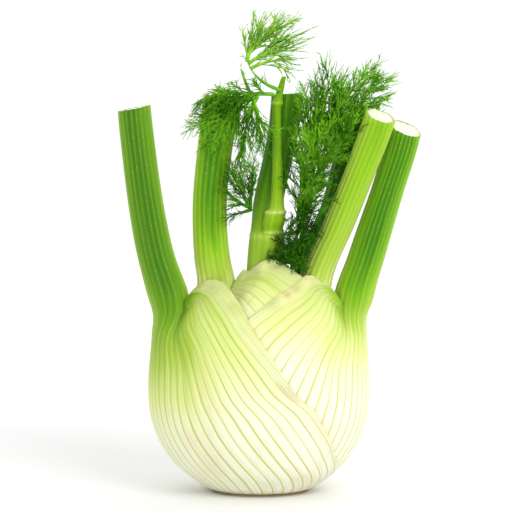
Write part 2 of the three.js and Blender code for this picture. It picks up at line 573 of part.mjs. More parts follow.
// The trimmed root end: a thin flange under the outer leaves, and a plug that rises inside them.
const FLANGE = { halfWidth: 22.4, halfDepth: 16.4, height: 0.85, chamfer: 0.3, sides: 48 };
const PLUG = { halfWidth: 14, halfDepth: 9.6, bottom: 0.5, top: 6.5, taper: 0.9, sides: 16 };

function rootPlate() {
  const [wide, deep] = [FLANGE.halfWidth - FLANGE.chamfer, FLANGE.halfDepth - FLANGE.chamfer];
  const outline = new THREE.Shape().absellipse(0, 0, wide, deep, 0, 2 * Math.PI);
  const flange = new THREE.ExtrudeGeometry(outline, {
    depth: FLANGE.height - 2 * FLANGE.chamfer, curveSegments: FLANGE.sides / 2,
    bevelThickness: FLANGE.chamfer, bevelSize: FLANGE.chamfer, bevelSegments: 1,
  }).translate(0, 0, FLANGE.chamfer);
  const plug = new THREE.CylinderGeometry(PLUG.taper, 1, PLUG.top - PLUG.bottom, PLUG.sides)
    .rotateX(Math.PI / 2)
    .scale(PLUG.halfWidth, PLUG.halfDepth, 1)
    .translate(0, 0, (PLUG.top + PLUG.bottom) / 2);
  for (const geometry of [flange, plug]) {
    geometry.deleteAttribute("normal");
    geometry.deleteAttribute("uv");
  }
  return toSolid(flange).add(toSolid(plug));
}

const group = new THREE.Group();
const COLOURS = {
  outer_left_leaf: 0xb4cb6c, outer_right_leaf: 0xc0d670,
  inner_left_leaf: 0x86b03a, inner_right_leaf: 0x90b93e,
  innermost_right_leaf: 0x3d6b12, heart_leaf: 0x5f8f22, young_shoot: 0x99c11e, root_plate: 0xcdb98c,
  top_frond: 0x86b04a, upper_left_frond: 0x4c8418, lower_left_frond: 0x4c8418, right_fronds: 0x3f7414,
};

function add(name, solid) {
  const material = new THREE.MeshStandardMaterial({ color: COLOURS[name], roughness: 0.5, metalness: 0 });
  const mesh = new THREE.Mesh(toGeometry(solid), material);
  mesh.name = name;
  group.add(mesh);
}

// Each leaf is trimmed to lie clear of the leaves outside it.
const grownLeaves = LEAVES.map((leaf) => leafSolid(leaf, CLEARANCE).add(leafSolid(leaf)));
const without = (solid, others) => others.reduce((rest, other) => rest.subtract(other), solid);
for (const [i, leaf] of LEAVES.entries()) {
  add(leaf.name, largest(without(leafSolid(leaf), grownLeaves.slice(0, i))));
}
const innermost = (grown) => roundSolid(INNERMOST_RIGHT, 14, 9, [0.1, 0.2], grown);
const shoot = (grown) => roundSolid(SHOOT, 10, 20, [0, 0], grown);
const heart = (grown) => roundSolid(HEART, 18, 13, [0.05, -0.05], grown);
add("innermost_right_leaf", largest(without(innermost(0), grownLeaves)));
add("young_shoot", shoot(0));
add("heart_leaf", largest(without(heart(0), [...grownLeaves, innermost(CLEARANCE), shoot(CLEARANCE)])));
add("root_plate", rootPlate());

// What little of a frond still touches a stalk is trimmed off.
const stalks = [...grownLeaves, innermost(CLEARANCE), shoot(CLEARANCE), heart(CLEARANCE)];
for (const name of Object.keys(FRONDS)) {
  add(name, largest(without(frondSolid(name), stalks)));
}

export default group;
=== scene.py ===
"""A fennel bulb with cut stalks and feathery fronds: ribbed leaf sheaths that lap round each other."""
import bisect
import math
import random
from functools import lru_cache
from types import SimpleNamespace

import bmesh
import bpy
from bpy.props import FloatProperty, FloatVectorProperty, IntProperty, PointerProperty
from mathutils import Matrix, Vector, noise


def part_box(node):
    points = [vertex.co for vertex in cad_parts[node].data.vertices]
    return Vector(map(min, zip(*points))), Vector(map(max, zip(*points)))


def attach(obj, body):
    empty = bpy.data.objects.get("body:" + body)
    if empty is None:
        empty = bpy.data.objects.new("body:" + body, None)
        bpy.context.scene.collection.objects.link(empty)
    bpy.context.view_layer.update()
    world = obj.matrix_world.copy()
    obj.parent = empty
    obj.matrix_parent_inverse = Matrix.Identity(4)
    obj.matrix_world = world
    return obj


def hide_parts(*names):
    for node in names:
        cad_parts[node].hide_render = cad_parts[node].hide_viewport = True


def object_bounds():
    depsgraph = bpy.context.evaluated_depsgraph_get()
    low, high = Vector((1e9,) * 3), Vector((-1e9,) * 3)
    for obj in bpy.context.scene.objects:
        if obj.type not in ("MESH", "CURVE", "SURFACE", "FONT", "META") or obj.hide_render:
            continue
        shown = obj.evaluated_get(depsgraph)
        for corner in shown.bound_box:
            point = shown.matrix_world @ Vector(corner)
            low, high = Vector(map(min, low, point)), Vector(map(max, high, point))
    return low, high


bl_info = {
    "name": "Fennel Bulb",
    "version": (1, 0, 0),
    "blender": (4, 5, 0),
    "location": "View3D > Sidebar > Fennel",
    "description": "Makes a fennel bulb with ribbed sheaths, cut stalks and feathery fronds",
    "category": "Add Mesh",
}

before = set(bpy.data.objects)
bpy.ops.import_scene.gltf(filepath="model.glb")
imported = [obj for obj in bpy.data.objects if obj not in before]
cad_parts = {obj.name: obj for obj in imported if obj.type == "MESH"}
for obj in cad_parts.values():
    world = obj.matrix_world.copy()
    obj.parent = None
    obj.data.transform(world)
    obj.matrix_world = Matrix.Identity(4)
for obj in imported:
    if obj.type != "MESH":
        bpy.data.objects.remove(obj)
CAD_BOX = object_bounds()

# Shapes are worked out in millimetres, and the finished meshes are scaled to metres.
MM = 0.001
SHEATH_SHARE = 0.115  # a sheath's full thickness, as a share of the bulb's radius there
THICKENING_RUN = 26.0  # from a wing's margin to the sheath's full thickness
MM_PER_DEGREE = 0.6  # round the bulb, on average
USUAL_SPRIG = 9.0  # a sprig's usual length
LOW_SPRING = 112.0  # where a wing springs from its leaf's middle, in degrees round from its outer side
INNER_RIBS = 2  # on each side of a stalk's inner face
SKIN_INSET = 0.2  # how far the skin lies inside the round outline, so that its fine forms stay within it

OPENING_RUN = 7.0  # below the seam's top, over which the inner side opens
SEAM_SHARPNESS = 6  # how late the inner side turns to meet the outer one at the seam
FOOT_RUN = 9.0  # above the foot, over which the ribs come in
STALK_RELIEF = 1.2  # ribs are deeper on a stalk than on the sheath
VALLEY_SHARPNESS = 0.75
CUT_TILT_RUN = 30.0  # below a cut end, over which its slant comes in
CUT_ROUGHNESS = 0.35  # of a cut end's rim
PAINTED_SIDE_SHEEN = 0.4  # painted sheen: how much paler a stalk's sides are painted, for the light of the white surroundings on its edges
RING_HEIGHT = 0.6  # of a ring round a round stalk
ROOT_WIDTH_TO_DEPTH = 1.36
SPRING_SHARE = 0.22  # the part of a margin that follows the stalk
GROWTH_SCALE = 100.0  # lengths along the plant are kept in tenths of a metre
LOWEST_STALK = 85.0  # below this height the fronds meet no stalk
SPINE_ROOM = 1.2  # between a frond's spine and a stalk
THREAD_ROOM = 0.5  # between a frond's thread and a stalk
GOLDEN_TURN = 2.4  # from one side sprig or thread to the next, round its stem
LOW_MARGIN_ROW = 0.015  # the first rows of a wing carry no membrane

# The stage, in metres and watts. The camera stands a metre from its aim, CAMERA_LIFT degrees above it.
FLOOR_REACH = 6.0
SKY_STRENGTH = 1.07
LAMP_AIM = (0.0, 0.0, 0.09)
LAMPS = (
    ("key_light", (0.6, -0.75, 0.75), 0.6, 6.0),
    ("back_light", (0.3, 0.9, 0.8), 0.8, 2.0),
)
CAMERA_AIM = (-0.0018, 0.0, 0.1092)
CAMERA_LIFT = 5.5
CAMERA_LENS = 152.9  # millimetres
CAMERA_SENSOR = 36.0  # millimetres

# The bulb's outline: height, half width, half depth
OUTLINE = [
    (0, 19.5, 14.5), (1.8, 24.6, 18), (4.1, 28.8, 21), (6.4, 31.9, 23.2), (11, 37.7, 27.5),
    (15.6, 42.1, 30.6), (20.2, 45.2, 33), (24.8, 47.6, 34.9), (34, 50.7, 37.2), (43.2, 51.8, 38),
    (52.4, 51.8, 37.8), (61.6, 51.1, 36.8), (70.8, 50, 34.8), (75.4, 49.4, 33.2), (80, 47.4, 31.2),
    (84.6, 44.2, 28.8), (89.2, 40.6, 26), (93.8, 37, 22.8), (98.4, 33.5, 19.6), (103, 30, 16.6),
    (107.6, 26.6, 13.9), (114, 22, 11),
]

# The leaves, from the outside in, all written as left leaves: side 1 mirrors one to the right.
# stalk rows: height, centre x, centre y, half width, half depth
# seam rows: height, degrees from the leaf's middle to where the wing starts
# margin rows: degrees from the leaf's middle, height
# green rows: height, how green the skin is
# spring: where the wings spring from the stalk, in degrees round from its outer side
# dry rows: degrees from the leaf's middle, height and radius of a dried spot
# grid: columns of the middle and of a wing, rows below the seam's top and above it
OUTER_LEFT = SimpleNamespace(
    name="outer_left_leaf", skin="outer_left_skin", greens=("outer_stalk", "outer_bright"),
    side=-1, spring=142, foot=1.2, seam_height=89, blend=(60, 91), top=177, tilt=(0.2, 0.03),
    stalk=[
        (60, -45.6, 0, 6, 15), (70, -43.4, 0, 7.6, 13.5), (80, -41.4, 0, 9, 12), (89, -42, 0, 9.6, 10.8),
        (93.8, -43, 0, 9.9, 10.2), (98.4, -44.4, 0, 9.6, 9.7), (107.6, -47.3, 0.3, 9, 8.9),
        (116.8, -49.5, 0.7, 8.7, 8.4), (130.6, -52, 1.3, 8.4, 8), (144.4, -54, 2, 8.2, 7.8),
        (158.2, -55.7, 2.6, 8, 7.6), (172, -57.2, 3, 7.8, 7.4), (180, -57.8, 3.2, 7.7, 7.3),
    ],
    front_seam=[(1.2, 62), (11, 57), (20, 52), (30, 47), (43, 44), (60, 42), (70, 38), (80, 32), (89, 29)],
    back_seam=[(1.2, 50), (11, 49), (20, 47), (30, 45), (43, 43), (60, 41), (70, 37), (80, 29), (89, 17)],
    front_margin=[
        (32.4, 94.4), (37.5, 97.2), (43.2, 99), (51.1, 99.6), (58.8, 98.7), (66.8, 95.7),
        (77.2, 89.2), (84.6, 81), (91.3, 72.7), (98.1, 63.9), (107.3, 51.5), (112.7, 46.9), (119.1, 41.4),
        (124.3, 35), (132.2, 26.7), (141, 19.3), (151.5, 13.3), (165, 8.3), (176, 4.6), (182, 1.2),
    ],
    back_margin=[
        (26, 92), (33.4, 94.6), (42, 97), (52, 97.4), (62, 95), (72, 88.5), (81, 79), (89, 69), (98, 57),
        (108, 45), (118, 34), (128, 24), (138, 15), (146, 8), (150, 1.2),
    ],
    green=[(0, 0.02), (30, 0.06), (45, 0.16), (60, 0.36), (75, 0.62), (90, 0.85), (105, 1), (180, 1)],
    ribs=16, wing_ribs=11, veined=(0.74, 0.97), wing_green=0.36,
    dry=[(106, 53, 7), (36, 96, 3)], grid=(78, 56, 84, 34),
)
OUTER_RIGHT = SimpleNamespace(
    name="outer_right_leaf", skin="outer_right_skin", greens=("right_stalk", "right_bright"),
    side=1, spring=124, foot=1.2, seam_height=88, blend=(60, 91), top=168, tilt=(0.36, 0.42),
    stalk=[
        (60, -45, 0, 6, 15), (70, -43, 0, 7.6, 13.5), (80, -41.8, 0, 8.8, 12), (88, -43, 0, 9.4, 10.8),
        (93.8, -44, 0, 9.6, 10), (98.4, -45.3, -0.2, 9.4, 9.4), (107.6, -48.4, -0.6, 9, 8.8),
        (116.8, -51.2, -1.2, 8.7, 8.4), (130.6, -55.4, -2.4, 8.2, 7.9), (144.4, -59.7, -3.6, 7.8, 7.5),
        (158.2, -63.6, -5, 7.5, 7.2), (167, -65.8, -5.8, 7.3, 7), (176, -68, -6.6, 7.2, 6.9),
    ],
    front_seam=[(1.2, 76), (11, 66), (20, 57), (30, 51), (43, 47), (60, 44), (70, 38), (80, 30), (88, 20.5)],
    back_seam=[(1.2, 50), (11, 49), (20, 47), (30, 45), (43, 43), (60, 41), (70, 37), (80, 29), (88, 17)],
    front_margin=[
        (21, 93), (23.5, 97.4), (30, 100.2), (39, 101.4), (47, 101.2), (54, 99.4), (61.5, 97.5),
        (79.2, 92.5), (88.4, 88.3), (95.7, 84.2), (101, 79.5), (109, 71), (119, 58), (128, 43), (136, 25),
        (146, 10), (152, 1.2),
    ],
    back_margin=[
        (26, 91), (33.4, 93.6), (42, 96), (52, 96.4), (62, 94), (72, 87.5), (81, 78), (89, 68), (98, 56),
        (108, 44), (118, 33), (128, 23), (138, 14), (142, 7), (144, 1.2),
    ],
    green=[(0, 0.02), (50, 0.05), (66, 0.16), (78, 0.38), (90, 0.68), (102, 0.86), (118, 0.97), (180, 1)],
    ribs=16, wing_ribs=10, veined=(0.84, 0.94), wing_green=0.36,
    dry=[(62, 97, 3.4), (70, 94, 2.6), (49, 101, 2)], grid=(78, 56, 84, 34),
)
INNER_LEFT = SimpleNamespace(
    name="inner_left_leaf", skin="inner_left_skin", greens=("inner_stalk", "inner_bright"),
    side=-1, spring=142, foot=7, seam_height=92, blend=(58, 97), top=183, tilt=(0.07, 0.04),
    stalk=[
        (58, -36, 0, 4, 13), (70, -33, 0, 5.5, 11.5), (80, -27.5, 0, 7.5, 10), (89, -22.6, 0, 8.4, 9),
        (94, -20.8, -0.2, 8.9, 8.7), (98.4, -20.2, -0.3, 9, 8.5), (107.6, -21.8, -0.6, 8.6, 8.3),
        (121.4, -22.9, -1, 8.2, 8), (135.2, -22.9, -1.6, 8.1, 7.8), (149, -21.7, -2.2, 8.2, 7.8),
        (167, -19.4, -3, 8.4, 8), (182, -17.3, -3.8, 8.7, 8.2), (190, -16.3, -4.2, 8.8, 8.3),
    ],
    front_seam=[(7, 50), (30, 52), (50, 54), (70, 58), (80, 64), (88, 69), (92, 71)],
    back_seam=[(7, 50), (30, 50), (50, 51), (70, 55), (80, 60), (88, 66), (92, 70)],
    front_margin=[
        (74, 97.5), (76, 101), (79, 103.6), (82, 102.8), (86, 104.8), (92, 107.4), (99, 108.6),
        (107, 108.6), (115, 106.8), (124, 103.6), (132, 100), (139, 92), (144, 80), (147, 60), (148, 40),
        (147, 20), (144, 7),
    ],
    back_margin=[
        (76, 97), (84, 100), (92, 101.5), (100, 100.5), (108, 96), (115, 86), (120, 70), (122, 50),
        (122, 25), (120, 7),
    ],
    green=[(0, 0), (80, 0.1), (90, 0.2), (98, 0.34), (108, 0.6), (120, 0.86), (138, 1), (190, 1)],
    ribs=14, wing_ribs=10, veined=(0.84, 0.88), wing_green=0.8,
    dry=[(134, 98, 3.6), (76, 101, 1.6)], grid=(66, 42, 60, 36),
)
INNER_RIGHT = SimpleNamespace(
    name="inner_right_leaf", skin="inner_right_skin", greens=("light_stalk", "light_bright"),
    side=1, spring=142, foot=7, seam_height=88, blend=(58, 98), top=174, tilt=(0.33, 0.4),
    stalk=[
        (58, -34, 0, 4, 13), (70, -31.5, -0.5, 5.5, 11.5), (80, -28, -1, 7, 9.6),
        (88, -25.2, -1.6, 7.8, 8.4), (98.4, -25.6, -2.4, 8, 7.7), (107.6, -28.6, -3.4, 7.9, 7.4),
        (121.4, -34.8, -5.4, 7.7, 7.2),
        (135, -40.2, -7.8, 7.6, 7), (149, -45.6, -10.4, 7.4, 6.8), (163, -50.6, -13, 7.2, 6.7),
        (174, -54.2, -15, 7, 6.6), (182, -56.8, -16.4, 6.9, 6.5),
    ],
    front_seam=[(7, 46), (30, 48), (50, 50), (70, 54), (80, 60), (88, 66)],
    back_seam=[(7, 46), (30, 48), (50, 50), (70, 54), (80, 60), (88, 66)],
    front_margin=[
        (72, 92), (80, 95), (88, 95), (96, 92), (103, 86), (109, 76), (113, 60), (114, 40), (112, 20),
        (108, 7),
    ],
    back_margin=[
        (72, 93), (80, 97), (90, 98), (100, 95), (108, 88), (114, 76), (118, 60), (118, 40), (116, 20),
        (110, 7),
    ],
    green=[(0, 0), (86, 0.1), (95, 0.3), (106, 0.44), (125, 0.6), (150, 0.74), (180, 0.85)],
    ribs=14, wing_ribs=7, veined=(0.86, 0.9), wing_green=0.8,
    dry=[], grid=(66, 36, 60, 36),
)
LEAVES = [OUTER_LEFT, OUTER_RIGHT, INNER_LEFT, INNER_RIGHT]

# Round stalks: rows of height, centre x, centre y, half width, half depth, and rings of height, bulge
HEART = SimpleNamespace(
    name="heart_leaf", skin="heart_skin", greens=("heart", "heart_bright"), striped=1.0,
    ribs=14, relief=1.0, tilt=(0.05, -0.05), rings=[(118.8, 0.3)],
    green=[
        (7, 0), (85, 0.2), (102, 0.5), (117, 0.62), (118.8, 0.4), (120.4, 0.66), (128, 0.85), (150, 1),
        (184, 1),
    ],
    rows=[
        (7, 0, 0, 12, 8), (30, 0, 0, 27, 18), (55, 0, 0, 25, 17), (75, 1, 0, 16, 11), (88, 2.4, 0, 9.8, 8.6),
        (100, 2.4, -0.4, 8.9, 8.4), (112, 2.9, -1.2, 8.5, 8.6), (118.2, 3.3, -1.2, 8.2, 8.7),
        (119.6, 3.3, -0.8, 8, 8.4), (121.5, 3.3, 0.8, 7.6, 7.5), (124, 3.4, 1.2, 7.4, 7.4),
        (134, 3.9, 2, 7, 7), (153, 8, 3.4, 7, 6.8), (168, 11, 4.6, 7.2, 6.8), (183.3, 12.6, 5.6, 7.4, 7),
    ],
)
SHOOT = SimpleNamespace(
    name="young_shoot", skin="shoot_skin", greens=("shoot", "shoot_bright"), striped=0.35,
    ribs=9, relief=0.4, tilt=(0, 0), rings=[(120.6, 0.3), (130, 0.35), (179.4, 0.25)],
    green=[
        (112, 0.6), (119, 0.66), (120.6, 0.3), (122.2, 0.68), (126, 0.72), (128.6, 0.62), (130, 0.26),
        (131.6, 0.58), (150, 0.8), (178, 0.9), (179.4, 0.6), (181, 0.9), (191, 0.95),
    ],
    rows=[
        (112, 4.8, -2.6, 2.4, 2.4), (117, 5.2, -4.8, 3.8, 3.3), (120.2, 5.5, -5.8, 4.6, 3.8),
        (121.8, 5.8, -6, 4.4, 3.7), (125, 6.2, -6.3, 5.2, 4.2), (128.6, 6.9, -6.4, 4.8, 4),
        (130, 7.2, -6.4, 4.8, 4.1), (131.6, 7.6, -6.4, 3.7, 3.4), (137, 7.9, -6.3, 3, 2.8),
        (146, 8, -5.9, 2.6, 2.5), (158, 7.8, -5.4, 2.1, 2.1), (172, 7.7, -4.9, 2, 2), (178, 7.7, -4.7, 2, 2),
        (179.4, 7.8, -4.6, 2.6, 2.5), (181, 8.1, -4.5, 2.1, 2), (191.5, 10.9, -3.6, 1, 1),
    ],
)
# Its greens are painted shade: darker than its neighbours' greens, for the shadow of the fronds over it.
INNERMOST_RIGHT = SimpleNamespace(
    name="innermost_right_leaf", skin="innermost_right_skin", greens=("dark_stalk", "dark_bright"),
    striped=1.0, ribs=14, relief=1.0, tilt=(0.1, 0.2), rings=[],
    green=[(40, 0.1), (85, 0.6), (100, 1), (180, 1)],
    rows=[
        (40, 16, 6, 3, 3), (60, 18, 7, 6, 4), (80, 19.4, 7.6, 6.6, 5), (95, 21, 8.4, 6.6, 5.6),
        (107.6, 24.6, 10, 7, 6.6), (130.4, 35, 12, 7.2, 7), (154, 41.4, 12.4, 7.2, 7),
        (167, 45.4, 12.2, 7.1, 6.9), (179, 49.2, 11.8, 7, 6.8),
    ],
)

# How the sprigs of a frond branch: the share of the threads, their lean and curl, and the steps of a thread
HABITS = {
    "bushy": SimpleNamespace(
        share=1.0, thick=1.0, lean=(16, 38), curl=(0.04, 0.16), steps=(6, 4, 2), sprig_lean=(26, 50),
    ),
    "flowing": SimpleNamespace(
        share=0.8, thick=1.0, lean=(8, 24), curl=(0.04, 0.2), steps=(7, 5, 3), sprig_lean=(14, 34),
    ),
    "curly": SimpleNamespace(
        share=0.75, thick=1.9, lean=(24, 60), curl=(0.4, 0.75), steps=(7, 5, 3), sprig_lean=(30, 80),
    ),
}

# Fronds: start, bend, tip, number of side sprigs, their reach, the way their threads are swept, and habit
FRONDS = {
    "top_frond": [
        ((9.4, -7, 185.4), (-2, -7, 188.6), (-5.8, -8, 198.4), 1, 5, (0.1, 0, 0.3), "flowing"),
        ((-5.8, -8, 198.2), (-5, -8, 206), (5.4, -6, 211.6), 17, 11, (0.27, 0, 0.24), "flowing"),
        ((-5.8, -8, 198.2), (-6.4, -8, 202), (-3.4, -7, 206), 6, 9, (0.14, 0, 0.2), "flowing"),
        ((-5.2, -7.4, 197.4), (1, -8, 202), (8, -6, 205), 9, 11, (0.4, 0, 0.1), "flowing"),
        ((-4.4, -7.6, 195), (2, -9, 199), (10, -8, 198.6), 6, 9, (0.3, 0, 0.02), "flowing"),
    ],
    "upper_left_frond": [
        ((6.4, -8.4, 183.4), (-8, -12, 186), (-27, -16, 171), 22, 10, (-0.2, 0, -0.3), "bushy"),
        ((-4, -12, 183.4), (-14, -15, 186), (-25, -14, 181.5), 15, 8, (-0.2, 0, -0.5), "bushy"),
        ((-8, -13.4, 181.4), (-14, -17, 175), (-20, -17, 163), 13, 9, (-0.2, 0, -0.3), "bushy"),
        ((-1, -11, 182.6), (-6, -16, 174), (-9, -12, 155), 16, 10, (0.2, 0, -0.3), "flowing"),
        ((-3, -11.4, 183), (-2, -14, 176), (1, -12, 163), 10, 9, (0, 0, -0.4), "flowing"),
        ((-4, -11.6, 183), (-7, -12, 190), (-8.6, -11, 195), 2, 3, (0, 0, 0.2), "flowing"),
    ],
    "lower_left_frond": [
        ((-4, -8.6, 130.6), (-8, -10, 138), (-12, -11, 148), 13, 8, (-0.2, 0, 0.2), "bushy"),
        ((-5.4, -9, 132.6), (-10, -10, 134), (-14, -10, 139), 7, 7, (-0.3, 0, 0), "flowing"),
        ((-4.4, -8.8, 132), (-4, -10, 142), (-3, -10, 151), 11, 7, (-0.2, 0, 0.2), "bushy"),
        ((-4.6, -8.8, 131), (-8, -10, 130), (-12, -10, 129), 4, 6, (-0.2, 0, -0.2), "flowing"),
    ],
    "right_fronds": [
        ((14.5, -7, 104), (16, -12.4, 124), (26, -13, 148), 12, 9, (0.1, 0, 0.3), "bushy"),
        ((25.6, -13, 147), (31, -10, 164), (36, -7, 179), 16, 12, (0.2, 0, 0.3), "bushy"),
        ((28, -12.6, 152), (40, -6, 174), (53, -3, 187.5), 19, 11, (0.3, 0, 0.1), "bushy"),
        ((33, -9, 168), (38, -6, 184), (48, -4, 192), 14, 9, (0.2, 0, 0.2), "bushy"),
        ((23.4, -12.8, 142), (26, -9, 166), (31, -6, 187), 17, 11, (0, 0, 0.4), "bushy"),
        ((18.6, -11, 130), (18.5, -10, 160), (21, -7, 181), 17, 10, (0.1, 0, 0.3), "bushy"),
        ((26, -13, 148), (33, -12, 158), (38, -11, 162), 10, 7, (0, 0, 0.2), "bushy"),
        ((30, -12, 160), (35, -10, 168), (42, -8, 176), 12, 9, (0.1, 0, 0.2), "bushy"),
        ((24, -12, 146), (24, -9, 165), (26, -8, 184), 14, 9, (0, 0, 0.3), "bushy"),
        ((20, -11.6, 132), (24, -13, 148), (33, -11, 160), 11, 9, (0.1, 0, 0.2), "bushy"),
        ((16.6, -9.6, 121), (23, -14, 134), (29, -13, 149), 15, 9, (0.1, 0, 0.1), "bushy"),
        ((14.7, -7.6, 106), (12, -13, 114), (14.6, -12.4, 128), 22, 6, (0, 0, 0), "curly"),
        ((14.7, -7.6, 106), (18, -13, 112), (20, -14, 129), 26, 6, (0, 0, 0), "curly"),
        ((14.7, -7.6, 106), (21, -13, 112), (25.5, -14, 127), 24, 6, (0, 0, 0), "curly"),
        ((14.7, -7.6, 105.6), (19, -15, 104.6), (20.4, -15, 114), 18, 5, (0, 0, 0), "curly"),
        ((14.7, -8, 106), (13.6, -15, 110), (17, -16, 119), 18, 5, (0, 0, 0), "curly"),
        ((15.2, -8, 107), (19, -10, 118), (24, -10, 131), 24, 6, (0, 0, 0), "curly"),
        ((14.4, -8.4, 107.4), (9, -12, 107), (3.6, -11.8, 111), 12, 4, (0, 0, 0), "curly"),
        ((14, -8.4, 107), (9.4, -12, 107.6), (7.4, -12.4, 113), 10, 4, (0, 0, 0), "curly"),
        ((17, -9.8, 126), (19, -13, 146), (25, -11, 165), 14, 9, (0.1, 0, 0.2), "bushy"),
    ],
}


def clamp01(value):
    return min(1.0, max(0.0, value))


def smooth(value):
    value = clamp01(value)
    return value * value * (3 - 2 * value)


def mix(start, end, share):
    return start + (end - start) * share


def smooth_table(rows, column=1):
    """A smooth function through rows of (position, value, ...), for the value in one column."""
    spots = [row[0] for row in rows]
    values = [row[column] for row in rows]
    last = len(rows) - 1

    def slope(i):
        low, high = max(0, i - 1), min(last, i + 1)
        return (values[high] - values[low]) / (spots[high] - spots[low])

    slopes = [slope(i) for i in range(len(rows))]

    def look_up(spot):
        if spot <= spots[0]:
            return values[0]
        if spot >= spots[-1]:
            return values[-1]
        i = bisect.bisect_left(spots, spot)
        run = spots[i] - spots[i - 1]
        t = (spot - spots[i - 1]) / run
        return (
            (2 * t ** 3 - 3 * t ** 2 + 1) * values[i - 1] + (t ** 3 - 2 * t ** 2 + t) * slopes[i - 1] * run
            + (3 * t ** 2 - 2 * t ** 3) * values[i] + (t ** 3 - t ** 2) * slopes[i] * run
        )

    return look_up


def stalk_form(rows):
    """A stalk's centre x, centre y, half width and half depth, as smooth functions of height."""
    return tuple(smooth_table(rows, column) for column in (1, 2, 3, 4))


half_width = smooth_table(OUTLINE, 1)
half_depth = smooth_table(OUTLINE, 2)


def prepare_leaf(leaf):
    """Adds the smooth functions of a leaf's rows to it."""
    for way in ("front", "back"):
        margin = getattr(leaf, way + "_margin")
        furthest = next(
            i for i in range(len(margin)) if i + 1 == len(margin) or margin[i + 1][0] <= margin[i][0]
        )
        peak = max(range(len(margin)), key=lambda i: (margin[i][1], i))
        setattr(leaf, way + "_height", smooth_table(margin[:furthest + 1]))
        falling = [(height, turn) for turn, height in margin[peak:]]
        setattr(leaf, way + "_reach", smooth_table(falling[::-1]))
        setattr(leaf, way + "_seam_at", smooth_table(getattr(leaf, way + "_seam")))
    leaf.x, leaf.y, leaf.rx, leaf.ry = stalk_form(leaf.stalk)
    leaf.greenness = smooth_table(leaf.green)


for each_leaf in LEAVES:
    prepare_leaf(each_leaf)


def outline_radius(angle, z):
    return math.hypot(half_width(z) * math.sin(angle), half_depth(z) * math.cos(angle))


def on_bulb(angle, z, inset):
    """A point of the bulb's surface, moved in towards the axis by inset. The angle runs from the front."""
    share = 1 - (inset + SKIN_INSET) / outline_radius(angle, z)
    return Vector((share * half_width(z) * math.sin(angle), -share * half_depth(z) * math.cos(angle)))


def sheath_thickness(leaf, angle, z, sizes):
    """Thin at the wing's margin, and full well inside it."""
    turn = math.degrees(angle) + 90 if leaf.side < 0 else 90 - math.degrees(angle)
    turn = (turn + 540) % 360 - 180
    height, reach = leaf.front_height, leaf.front_reach
    if turn < 0:
        height, reach = leaf.back_height, leaf.back_reach
    inside = min(height(abs(turn)) - z, (reach(z) - abs(turn)) * MM_PER_DEGREE)
    full = max(SHEATH_SHARE * outline_radius(angle, z), sizes.margin)
    return mix(sizes.margin, full, smooth(inside / THICKENING_RUN))


def layer_inset(leaf, angle, z, sizes):
    """How far a leaf lies inside the bulb's outline: under every leaf outside it."""
    outside = LEAVES[:LEAVES.index(leaf)]
    return sum(sheath_thickness(other, angle, z, sizes) + sizes.gap for other in outside)


def even_curve(points, steps_each=14):
    """A smooth curve through points, as a function of the share of its length."""
    ends = [points[0] * 2 - points[1]] + points + [points[-1] * 2 - points[-2]]
    trail = []
    for p0, p1, p2, p3 in zip(ends, ends[1:], ends[2:], ends[3:]):
        t1 = (p1 - p0).length ** 0.5
        t2 = t1 + (p2 - p1).length ** 0.5
        t3 = t2 + (p3 - p2).length ** 0.5
        for step in range(steps_each):
            t = mix(t1, t2, step / steps_each)
            a1 = p0.lerp(p1, t / t1)
            a2 = p1.lerp(p2, (t - t1) / (t2 - t1))
            a3 = p2.lerp(p3, (t - t2) / (t3 - t2))
            b1 = a1.lerp(a2, t / t2)
            b2 = a2.lerp(a3, (t - t1) / (t3 - t1))
            trail.append(b1.lerp(b2, (t - t1) / (t2 - t1)))
    trail.append(points[-1])
    run = [0.0]
    for start, end in zip(trail, trail[1:]):
        run.append(run[-1] + (end - start).length)

    def at(share):
        goal = clamp01(share) * run[-1]
        i = min(len(trail) - 1, max(1, bisect.bisect_left(run, goal)))
        return trail[i - 1].lerp(trail[i], (goal - run[i - 1]) / (run[i] - run[i - 1]))

    return at


class Skin:
    """A mesh in the making whose points carry how the plant grew there.

    growth holds the place across the ribs, the place along them and the share of the way into a cut end.
    skin holds the greenness (on a stalk, with painted sheen that makes its sides paler), the share of thin
    veinless membrane, the cut face, and a dry edge.
    """

    def __init__(self):
        self.bm = bmesh.new()
        self.growth = self.bm.verts.layers.float_vector.new("growth")
        self.skin = self.bm.verts.layers.float_color.new("skin")

    def lay(self, across, along, place):
        """Adds a grid. place(u, v) gives a corner's position, its growth and its skin."""
        grid = bmesh.ops.create_grid(self.bm, x_segments=across, y_segments=along, size=0.5)
        for vert in grid["verts"]:
            vert.co, vert[self.growth], vert[self.skin] = place(vert.co.x + 0.5, vert.co.y + 0.5)

    def finish(self, name, material):
        """Closes the seams, turns the faces outwards and makes the object, in metres."""
        bmesh.ops.remove_doubles(self.bm, verts=self.bm.verts, dist=0.012)
        bmesh.ops.dissolve_degenerate(self.bm, edges=self.bm.edges, dist=0.0005)
        bmesh.ops.recalc_face_normals(self.bm, faces=self.bm.faces)
        for face in self.bm.faces:
            face.smooth = True
        finish_piece(self.bm, name, material)


def finish_piece(bm, name, material):
    """Makes the object, in metres, and ties it to the CAD node that it replaces, which has the same name."""
    bmesh.ops.scale(bm, vec=(MM, MM, MM), verts=bm.verts)
    piece = mesh_object(bm, name, material)
    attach(piece, "root")
    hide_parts(name)


def mesh_object(bm, name, material):
    mesh = bpy.data.meshes.new(name)
    bm.to_mesh(mesh)
    bm.free()
    mesh.materials.append(material)
    made = bpy.data.objects.new(name, mesh)
    bpy.context.scene.collection.objects.link(made)
    return made


def valley(rib_place, depth):
    """The surface sinks by depth at each vein, and is rounded between veins."""
    return -depth * (1 - abs(math.sin(math.pi * rib_place)) ** VALLEY_SHARPNESS)


